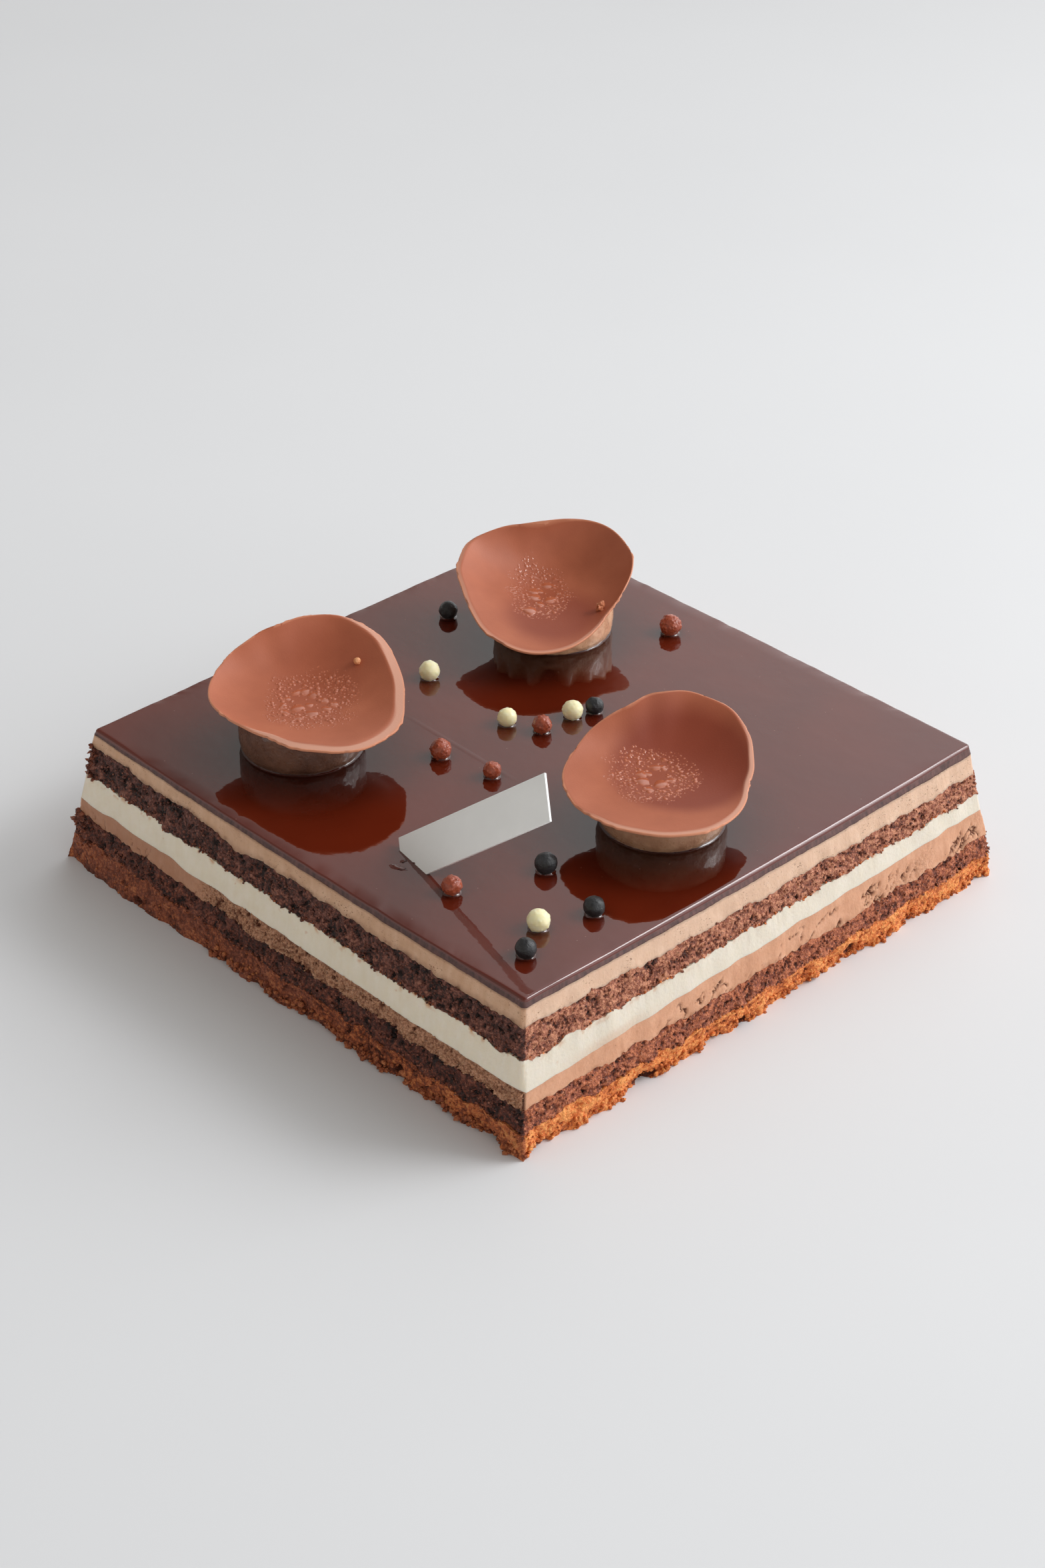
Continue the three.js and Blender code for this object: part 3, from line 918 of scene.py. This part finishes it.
def cake_layer(index):
    """One layer: its craggy side between two jagged rims, closed across the top and bottom."""
    layer = LAYERS[index]
    low, high = RIMS[index:index + 2]
    columns = len(low)
    height = float(np.mean(high[:, 2] - low[:, 2]))
    rows = 2 + round(height / ROW_PITCH)
    steps = np.linspace(0, 1, rows)
    points = (low + steps[:, None, None] * (high - low)).reshape(-1, 3)
    runs = (np.concatenate([run] * rows) for run in (OUT, SIDE, PLACE))
    cut = Cut(points, *runs, np.repeat(steps, columns))
    if layer in CRUMB:
        relief, attributes = crumb_side(layer, cut)
    else:
        relief, attributes = mousse_side(layer, cut, height)
    hollow = hollow_at(cut)
    # Painted shade in the single holes and cracks.
    attributes["relief"] = np.clip(attributes["relief"] - hollow / 2, 0, 1)
    points = points + cut.out * (relief - hollow)[:, None]
    CUTS[layer] = cut._replace(points=points)
    ledges = [drawn_in(rim, LEDGE) for rim in (low, high)]
    middles = [[0, 0, ledge[:, 2].mean()] for ledge in ledges]
    edges = points[:columns], points[-columns:]
    points = np.vstack([ledges[0], edges[0], points, edges[1], ledges[1], middles])
    for label, values in attributes.items():
        ends = [np.tile(run, 2) for run in (values[:columns], values[-columns:])]
        attributes[label] = np.concatenate([ends[0], values, ends[1], [0, 0]])
    faces = closed(rows + 4, columns, (1, rows + 1))
    slot = "sponge" if layer in SPONGES else layer
    piece(layer + "_cut", points, faces, FINISHES[layer], slot, [layer], **attributes)


rims = [fine_rim(rim_of(LAYERS[0], None))]
rims += [fine_rim(rim_of(lower, upper)) for lower, upper in zip(LAYERS, [*LAYERS[1:], "glaze"])]
SIDE, PLACE, OUT = side_frames(rims[0])
CUTS = {}
RIMS = [jagged(rim, boundary) for rim, boundary in zip(rims, [*LAYERS, "glaze"])]
for index in range(len(LAYERS)):
    cake_layer(index)


def everywhere(cut):
    return np.full(len(cut.points), True)


def left_corner(cut):
    return np.hypot(cut.points[:, 0] + HALF + 4, cut.points[:, 1] + HALF + 4) < 7


def crumbled(cut):
    return torn_share(cut) > 0.4


def lower_edge(cut):
    return cut.rise < 0.1


def front_foot(cut):
    return (cut.rise < 0.45) & ((cut.side == 1) | ((cut.side == 0) & (cut.place > -35)))


def strewn(name, layers, count, sizes, tones, material, slot, keep=everywhere, drawn=1.0):
    """Crumbs stuck to the cut sides of some layers: small lumps, which may be drawn outwards."""
    cut = Cut(*(np.concatenate(runs) for runs in zip(*(CUTS[layer] for layer in layers))))
    chosen = random.choice(np.flatnonzero(keep(cut)), count)
    out = cut.out[chosen]
    way, corners = ball(1)
    size = random.uniform(*sizes, (count, 1, 1))
    lumps = way * random.uniform(0.55, 1.0, (count, len(way), 1))
    lumps = lumps * random.uniform(0.6, 1.3, (count, 1, 3))
    way_out = unit(out + random.uniform(-0.6, 0.6, (count, 3)))[:, None]
    lumps = lumps + (drawn - 1) * (lumps * way_out).sum(axis=-1, keepdims=True) * way_out
    points = cut.points[chosen, None] + size * lumps + 0.3 * size * out[:, None]
    points[..., 2] = np.maximum(points[..., 2], 0.02)
    faces = corners + len(way) * np.arange(count)[:, None, None]
    relief = np.repeat(random.uniform(*tones, count), len(way))
    # Crumbs take most of their side's painted shade.
    damp = 0.8 * np.repeat(np.take(DAMP_AND_SHADE, cut.side[chosen]), len(way))
    points, faces = points.reshape(-1, 3), faces.reshape(-1, 3)
    piece(name, points, [faces], material, slot, relief=relief, damp=damp, torn=1)


strewn("crumbs_sponge", SPONGES, 4000, (0.25, 0.6), (0.55, 0.95), SPONGE, "sponge")
strewn("flakes", SPONGES, 90, (0.4, 1.0), (0.7, 1.1), SPONGE_LOWER, "sponge", left_corner, 1.9)
strewn("crumbs_fringe", SPONGES, 900, (0.2, 0.5), (0.4, 0.9), CRUNCH, "base_crunch", lower_edge)
strewn("crumbs_base", ["base_crunch"], 800, (0.25, 0.6), (0.55, 1.0), CRUNCH, "base_crunch")
strewn(
    "chunks_base", ["base_crunch"], 420, (0.6, 1.3), (0.6, 0.95), CRUNCH, "base_crunch", front_foot,
)
strewn(
    "crumbs_mousse", ["mousse_lower"], 600, (0.2, 0.45), (0.5, 0.7), FINISHES["mousse_lower"],
    "mousse_lower", crumbled,
)


# Glaze

def glaze_body():
    """The glaze: its cut side, a rounded edge and a flat top."""
    low = RIMS[-1]
    columns = len(low)
    from_end = ramp(HALF - np.abs(PLACE), 4.0, 24.0)
    radius = FRAME_EDGE + (np.take(EDGE_RADIUS, SIDE) - FRAME_EDGE) * from_end
    flat = fine_rim(rim_of_top()) + (FRAME_EDGE - radius)[:, None] * OUT
    ragged = np.where(SIDE == 1, 0.1, 0.6) * noise.fractal(flat / 5, 3)
    drop = SLOPE_DROP * (1 + ragged) * from_end
    flat[:, 2] = TOP - drop
    radius = radius[:, None]
    shoulder = flat + radius * (OUT - UP)
    rows = [drawn_in(low, LEDGE), low]
    rows += [low + (shoulder - low) * step / CUT_STEPS for step in range(1, CUT_STEPS)]
    cut = [1.0] * len(rows)
    for turn in np.linspace(0, math.pi / 2, EDGE_STEPS):
        rows.append(flat + radius * (math.cos(turn) * OUT - (1 - math.sin(turn)) * UP))
        cut.append(max(0.0, 0.7 - 3.5 * turn))
    for step in np.linspace(1 / SLOPE_STEPS, 1, SLOPE_STEPS):
        ring = drawn_in(flat, SLOPE_WIDTH * step)
        ring[:, 2] = TOP - drop * (1 - step) ** 2
        rows.append(ring)
        cut.append(0.0)
    points = np.vstack([*rows, low[:, 2].mean() * UP, TOP * UP])
    cut = np.append(np.repeat(cut, columns), [1.0, 0.0])
    piece("glaze_pour", points, closed(len(rows), columns), GLAZE, "glaze", ["glaze"], cut=cut)


glaze_body()


# Petals and pucks

class Rings:
    """A round node read as rings: for each column, the radius and both heights of each ring."""

    def __init__(self, node, centre):
        points = corners_of(node)
        offset = points[:, :2] - centre[:2]
        radius = np.linalg.norm(offset, axis=1)
        at_core = radius < CORE
        self.core = points[at_core, 2].max(), points[at_core, 2].min()
        points, offset, radius = points[~at_core], offset[~at_core], radius[~at_core]
        turn = np.arctan2(offset[:, 1], offset[:, 0]) % (2 * math.pi)
        steps = np.sort(np.unique(np.round(turn, 3)))
        count = round(2 * math.pi / np.diff(steps).max())
        column = np.round(turn / (2 * math.pi) * count).astype(int) % count
        order = np.lexsort((points[:, 2], np.round(radius, 2), column))
        self.radius = radius[order].reshape(count, -1)
        self.height = points[order, 2].reshape(count, -1)


def round_run(values, count):
    """Values at even turns, run smoothly to a larger count of turns."""
    return np.fft.irfft(np.fft.rfft(values), count) * count / len(values)


def even_turns(count):
    return 2 * math.pi * np.arange(count) / count


class Petal:
    """A smooth dished petal, read from its node and refined with a lip and a chipped edge."""

    def __init__(self, number):
        self.number = number
        self.centre = middle_of(f"puck_{number}")[0]
        rings = Rings(f"petal_{number}", self.centre)
        self.floor, under = rings.core
        self.thick = self.floor - under
        edge, last, before = rings.radius[:, -1], rings.height[:, -1], rings.height[:, -2]
        rim = np.maximum(last, before)
        self.rim_thick = float(np.mean(np.abs(last - before)))
        inner = np.maximum(rings.height[:, -5], rings.height[:, -6])
        share = (inner - self.floor) / (rim - self.floor)
        self.power = float(np.median(np.log(share) / np.log(rings.radius[:, -5] / edge)))
        self.turns = even_turns(PETAL_COLUMNS)
        self.out = ways_out(self.turns)
        self.edge, self.rim = round_run(edge, PETAL_COLUMNS), round_run(rim, PETAL_COLUMNS)
        for way, spread, out, up in NUDGES[number]:
            near = bell((np.degrees(self.turns) - way + 180) % 360, 180, spread)
            self.edge, self.rim = self.edge + out * near, self.rim + up * near
        self.round = float(edge.mean())
        spot = self.out + number * UP
        chipped = ramp(noise.fractal(spot * 4, 2), -0.3, 0.7)
        self.chips = CHIP * noise.fractal(spot * 22, 3) * chipped
        towards = np.cos(self.turns - math.radians(LIP_TOWARDS[number]))
        self.lip = LIP_LEAST + (LIP_WIDTH[number] - LIP_LEAST) * ramp(towards, -0.5, 0.6)

    def at(self, values, turn):
        return np.interp(turn % (2 * math.pi), [*self.turns, 2 * math.pi], [*values, values[0]])

    def reach(self, edge, radius):
        """Share of the way to the edge, by rings round inside and like the edge outside."""
        share = radius / edge
        for _ in range(12):
            share = radius / (self.round + (edge - self.round) * np.clip(share, 0, 1)**ROUNDING)
        return np.clip(share, 0, 1)

    def thickness(self, share):
        return self.thick + (self.rim_thick - self.thick) * share

    def height(self, turn, radius):
        """Height of the upper face at a turn and radius."""
        edge, rim, lip = (self.at(run, turn) for run in (self.edge, self.rim, self.lip))
        brink, level = 1 - lip / edge, rim - LIP_SLOPE * lip
        reach = self.reach(edge, radius)
        dish = self.floor + (level - self.floor) * (reach / brink)**self.power
        flange = rim - LIP_SLOPE * edge * (1 - reach)
        soft = LIP_ROUND / edge
        return dish + (flange - dish) * ramp(reach, brink - soft, brink + soft)

    def face(self, x, y):
        """Point on the upper face over a place given from the centre."""
        turn, radius = np.arctan2(y, x), np.hypot(x, y)
        return np.stack([self.centre[0] + x, self.centre[1] + y, self.height(turn, radius)], -1)

    def ring(self, reach):
        """Ring of the upper face at a share of the way to the edge."""
        return self.face(*(reach * self.edge[:, None] * self.out)[:, :2].T)

    def under(self, x, y):
        """Points just under the lower face."""
        share = np.hypot(x, y) / self.at(self.edge, np.arctan2(y, x))
        return self.face(x, y) - (self.thickness(share) + 0.02)[:, None] * UP

    def normal(self, x, y, step=0.2):
        across = self.face(x + step, y) - self.face(x - step, y)
        along = self.face(x, y + step) - self.face(x, y - step)
        return unit(np.cross(across, along))

    def wet(self, x, y):
        """How wet the dish is, from 0 to 1."""
        return ramp(self.from_patch(x, y), 1.05, 0.6)

    def from_patch(self, x, y):
        """Distance from the middle of the wet patch, as a share of its uneven half width."""
        over, up, reach, length = DEW[self.number]
        ragged = noise.fractal(np.stack([x / 6, y / 6, np.full(x.shape, 3.0)], -1), 2)
        across, back = (x - over + y - up) * math.sqrt(0.5), (y - up - x + over) * math.sqrt(0.5)
        return np.hypot(across, back / length) / reach + 0.16 * ragged

    def film(self, x, y):
        """How far the dish takes its painted shade and damp gloss, from 0 to 1."""
        over, up, reach, strength, soft = SHADE_AND_FILM[self.number]
        return strength * ramp(np.hypot(x - over, y - up) / reach, 1 + soft / 2, 1 - soft / 2)

    def build(self):
        """The shell: its upper face, a rounded and chipped rim, and its lower face."""
        columns = PETAL_COLUMNS
        reaches = 1 - (1 - np.linspace(0.02, 1, PETAL_ROWS)) ** 1.25
        rows = [self.ring(reach) for reach in reaches]
        half = RIM_SHOWN / 2
        middle = rows.pop() - half * UP + (self.chips - 0.5 * half)[:, None] * self.out
        # How far the flange takes its painted sheen and the rim its painted highlight.
        flange = np.zeros((len(rows) + RIM_ROWS + UNDER_ROWS, columns))
        for row, reach in enumerate(reaches[:-1]):
            past = reach * self.edge - self.edge + self.lip
            flange[row] = ramp(past, -0.3, 0.3) * ramp(self.lip, 0.6, 1.6)
        rim = np.zeros(flange.shape)
        rim[len(rows) - 1:len(rows) + RIM_ROWS] = 0.75
        for turn in np.linspace(math.pi / 2, -math.pi / 2, RIM_ROWS):
            rows.append(middle + half * (math.sin(turn) * UP + 0.5 * math.cos(turn) * self.out))
        for reach in 1 - 0.98 * np.linspace(0.1, 1, UNDER_ROWS) ** 1.6:
            thick = RIM_SHOWN + (self.thickness(reach) - RIM_SHOWN) * ramp(reach, 1.0, 0.93)
            rows.append(self.ring(reach) - thick * UP)
        core = np.array([*self.centre[:2], self.floor])
        points = np.vstack([*rows, core, core - self.thick * UP])
        x, y = (points - self.centre)[:, :2].T
        faces = [group[:, ::-1] for group in closed(len(rows), columns)]
        name = f"petal_{self.number}"
        piece(
            name + "_shell", points, faces, PETAL, "petal", [name], wet=self.wet(x, y),
            film=self.film(x, y), rim=np.append(rim, [0, 0]), flange=np.append(flange, [0, 0]),
        )


def dew_on(petal):
    """Dew as one wet skin under the face, with drops that stand out and run together inside."""
    over, up, reach, length = DEW[petal.number]
    half = 1.25 * reach * length
    count = 1 + int(2 * half / DEW_PITCH)
    run = np.linspace(-half, half, count)
    x, y = (grid.ravel() for grid in np.meshgrid(over + run, up + run, indexing="ij"))
    distance = petal.from_patch(x, y)
    spots = [np.stack([x / 1.7, y / 1.7, np.full(x.shape, level)], -1) for level in (9.0, 18.0)]
    wander = np.stack([noise.smooth(spot) for spot in spots], -1)
    tall = np.zeros(x.shape)
    for size, least, most, share, height, inner, outer in DROPS:
        flat = np.stack([x, y], axis=-1) + 0.1 * size * wander
        near, pick = noise.cells(flat / size + 40 * size, 0.45)
        wide = least + (most - least) * (pick * 7 % 1)
        dome = np.clip(1 - (near / wide) ** 2, 0, 1) ** 0.75 * wide / most
        ring = ramp(distance, inner - 0.1, inner + 0.05) * ramp(distance, outer, outer - 0.15)
        tall = np.maximum(tall, np.where(pick < 2 * share - 1, height * dome * ring, 0))
    for drop_x, drop_y, wide, height in LARGE_DROPS[petal.number]:
        near = np.hypot(x - drop_x, y - drop_y) / wide + 0.15 * wander[:, 0]
        tall = np.maximum(tall, height * np.sqrt(np.clip(1 - near**2, 0, 1)))
    tall -= DEW_SUNK
    points = petal.face(x, y) + tall[:, None] * petal.normal(x, y)
    quads = quads_of(np.arange(count * count).reshape(count, count).T)
    quads = quads[(tall[quads] > 0.01 - DEW_SUNK).any(axis=1)]
    used, quads = np.unique(quads, return_inverse=True)
    piece(f"dew_{petal.number}", points[used], [quads.reshape(-1, 4)], DEW_DROPS, "petal")


def lump_on(petal, name, x, y, radius, stretch, rough, pale):
    """A small lump that lies on a petal."""
    way, faces = ball(4)
    swell = 1 + rough * noise.fractal(way * 1.5 + 3, 3)
    points = way * radius * np.array(stretch) * swell[:, None]
    spot = np.array([x]), np.array([y])
    points = points + petal.face(*spot) + 0.6 * radius * stretch[2] * petal.normal(*spot)
    piece(name, points, [faces], LUMP, "petal", pale=pale)


def puck_body(petal):
    """A puck: its moist side read from the frame, closed under the petal it carries."""
    number, centre, count = petal.number, petal.centre, PUCK_COLUMNS
    rings = Rings(f"puck_{number}", centre)
    outward = ways_out(even_turns(count))
    order = np.argsort(rings.height, axis=1)
    runs = [np.take_along_axis(run, order, axis=1) for run in (rings.radius, rings.height)]
    outer = runs[0].mean(axis=0) > 0.75 * PUCK_RADIUS
    knots = [np.array([round_run(ring, count) for ring in run[:, outer].T]) for run in runs]
    places = np.linspace(0, len(knots[0]) - 1, PUCK_ROWS)
    rows = []
    for wide, tall in zip(*(through(run, places) for run in knots)):
        spot = centre * [1, 1, 0] + wide[:, None] * outward + tall[:, None] * UP
        lump = 0.16 * noise.fractal(spot / 3.0, 3) + 0.1 * noise.smooth(spot / 0.9)
        spot += lump[:, None] * outward
        ceiling = petal.under(*(spot - centre)[:, :2].T)[:, 2]
        spot[:, 2] = np.minimum(spot[:, 2], ceiling)
        rows.append(spot)
    rows += [petal.under(*(wide * outward)[:, :2].T) for wide in PUCK_RINGS]
    cores = [[*centre[:2], TOP], [*centre[:2], petal.floor - petal.thick]]
    points, faces = np.vstack([*rows, cores]), closed(len(rows), count)
    name = f"puck_{number}"
    # Each puck's painted light against painted shade.
    piece(name + "_drum", points, faces, PUCK, "puck", [name], pale=PUCK_PAINTED_LIGHT[number])


for number in PETAL_NUMBERS:
    petal = Petal(number)
    petal.build()
    dew_on(petal)
    puck_body(petal)
    for lump in LUMPS[number]:
        lump_on(petal, *lump)


# Pearls, and the glaze round them

def pearl(node, kind):
    """A lumpy pearl in place of its node, sunk a little in the glaze."""
    middle, half = middle_of(node)
    radius = float(half[:2].mean())
    way, faces = ball(5)
    grain, bump, drift = PEARL_FORMS[kind]
    spot = way * radius + middle
    near, pick = noise.cells(spot / grain)
    nubs = ramp(near, 0.62, 0.1) * (0.6 + 0.4 * pick)
    swell = 1 + bump * (nubs - 0.45) + drift * noise.fractal(spot / 2.2, 2)
    centre = np.array([*middle[:2], TOP + PEARL_RISE * radius])
    points = centre + way * radius * swell[:, None]
    piece(node + "_ball", points, [faces], PEARLS[kind], "pearl_" + kind, [node])
    return centre, radius


def menisci():
    """Rings of glaze that climb the feet of the pearls and pucks."""
    columns, levels = 56, 9
    outward = ways_out(even_turns(columns))
    share, *foot = PEARL_FOOT
    rings = [(centre, share * radius, *foot) for centre, radius in pearls]
    rings += [(middle_of(f"puck_{number}")[0], *PUCK_FOOT) for number in PETAL_NUMBERS]
    points, faces = [], []
    for centre, radius, climb, spread in rings:
        faces.append(ring_quads(levels, columns, len(points) * columns))
        for step in np.linspace(0, 1, levels):
            middle = np.array([*centre[:2], TOP - 0.02 + climb * step**2.4])
            points.append(middle + (radius + spread * (1 - step)) * outward)
    piece("glaze_menisci", np.vstack(points), faces, GLAZE, "glaze", cut=0)


def ridge():
    """A faint ridge in the glaze, where it ran together."""
    along, across = np.meshgrid(np.linspace(0, 1, 60), np.linspace(-1, 1, 11), indexing="ij")
    start, end, width, tall = RIDGE
    middle = np.array(start) + along[..., None] * (np.array(end) - np.array(start))
    height = tall * (1 - across**2) ** 2 * np.sin(math.pi * along) ** 0.5 - 0.004
    points = np.stack([middle[..., 0], middle[..., 1] + width * across, TOP + height], axis=-1)
    quads = quads_of(np.arange(along.size).reshape(along.shape).T)
    piece("glaze_ridge", points.reshape(-1, 3), [quads], GLAZE, "glaze", cut=0)


def smears():
    """Small smears of glaze pushed up where the card went in."""
    way, corners = ball(4)
    points, faces = [], []
    for x, y, length, width, turn in SMEARS:
        swell = 1 + 0.5 * noise.fractal(way * 1.3 + x, 3)
        lump = way * np.array([length, width, SMEAR_HEIGHT]) * swell[:, None]
        cos, sin = math.cos(math.radians(turn)), math.sin(math.radians(turn))
        lump = lump @ np.array([[cos, sin, 0], [-sin, cos, 0], [0, 0, 1]])
        faces.append(corners + len(way) * len(points))
        points.append(lump + np.array([x, y, TOP]))
    piece("glaze_smears", np.vstack(points), faces, GLAZE, "glaze", cut=0)


nodes = sorted(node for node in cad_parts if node.startswith("pearl_"))
pearls = [pearl(node, node.split("_")[1]) for node in nodes]
menisci()
ridge()
smears()


# Card

def card_plate():
    """The bare card with softened edges, in the place of its node."""
    corners = corners_of("card")
    start = corners[0]
    far = np.argsort(np.linalg.norm(corners - start, axis=1))
    axes = [corners[far[i]] - start for i in (1, 2, 4)]
    sizes = [np.linalg.norm(axis) for axis in axes]
    shape = bmesh.new()
    bmesh.ops.create_cube(shape, size=1)
    bmesh.ops.scale(shape, vec=sizes, verts=shape.verts)
    bmesh.ops.bevel(
        shape, geom=shape.edges[:], offset=CARD_BEVEL, segments=3, affect="EDGES", profile=0.5,
    )
    rotation = np.stack([axis / size for axis, size in zip(axes, sizes)], axis=1)
    points = np.array([vertex.co for vertex in shape.verts]) @ rotation.T + corners.mean(axis=0)
    faces = [np.array([[vertex.index for vertex in face.verts]]) for face in shape.faces]
    if np.linalg.det(rotation) < 0:
        faces = [face[:, ::-1] for face in faces]
    shape.free()
    piece("card_plate", points, faces, card_finish(), "card", ["card"])


card_plate()


# Stage, light and camera

def floor():
    """A wide pale floor that carries the cake."""
    mesh = bpy.data.meshes.new("floor")
    corners = [(-1, -1), (1, -1), (1, 1), (-1, 1)]
    mesh.from_pydata([(FLOOR_HALF * x, FLOOR_HALF * y, 0) for x, y in corners], [], [(0, 1, 2, 3)])
    finish = mottled(
        "floor", 300.0, (228, 229, 231), (231, 232, 234), (0.3, 0.7), Specular_IOR_Level=0.2,
        Roughness=0.7,
    )
    mesh.materials.append(finish.material)
    added("floor", mesh)


def surroundings():
    """Pale surroundings, bright behind and dim overhead, warmer in front."""
    world = bpy.data.worlds.new("studio")
    world.use_nodes = True
    nodes = Nodes(world.node_tree)
    background = world.node_tree.nodes["Background"]
    place = nodes.node("TexCoord", "Generated")

    def along(way):
        return nodes.node("VectorMath", "Value", place, way, operation="DOT_PRODUCT")

    total = 0.0
    for way, *span in GLOWS:
        glow = nodes.span(along(Vector(way).normalized()), *span, interpolation_type="SMOOTHSTEP")
        total = nodes.math("ADD", total, glow)
    nodes.feed(background.inputs["Strength"], total)
    tint = nodes.tones(along(WARM_TO_COOL), (0.0, FRONT_TINT), (0.5, BACK_TINT))
    nodes.feed(background.inputs["Color"], tint)
    bpy.context.scene.world = world


def lamps():
    """Two large soft lamps."""
    for name, (way, away, width, height, power) in LAMPS.items():
        lamp = bpy.data.lights.new(name, "AREA")
        lamp.shape = "RECTANGLE"
        lamp.size, lamp.size_y = width, height
        lamp.energy = power
        lamp.color = LAMP_TINT
        made = added(name, lamp)
        way = Vector(way).normalized()
        made.location = way * away
        made.rotation_euler = way.to_track_quat("Z", "Y").to_euler()


def camera():
    """The camera, turned about the vertical, tipped down and rolled."""
    lens = bpy.data.cameras.new("camera")
    lens.sensor_width = SENSOR
    lens.lens = FOCAL_PIXELS * SENSOR / IMAGE_HEIGHT
    lens.clip_start, lens.clip_end = 0.01, 50
    made = added("camera", lens)
    stand = Matrix.Translation(Vector(CAMERA_PLACE) * MM)
    for degrees, axis in ((CAMERA_AZIMUTH, "Z"), (90 - CAMERA_ELEVATION, "X"), (CAMERA_ROLL, "Z")):
        stand = stand @ Matrix.Rotation(math.radians(degrees), 4, axis)
    made.matrix_world = stand
    bpy.context.scene.camera = made


floor()
surroundings()
lamps()
camera()
bpy.context.scene.view_settings.view_transform = "Standard"
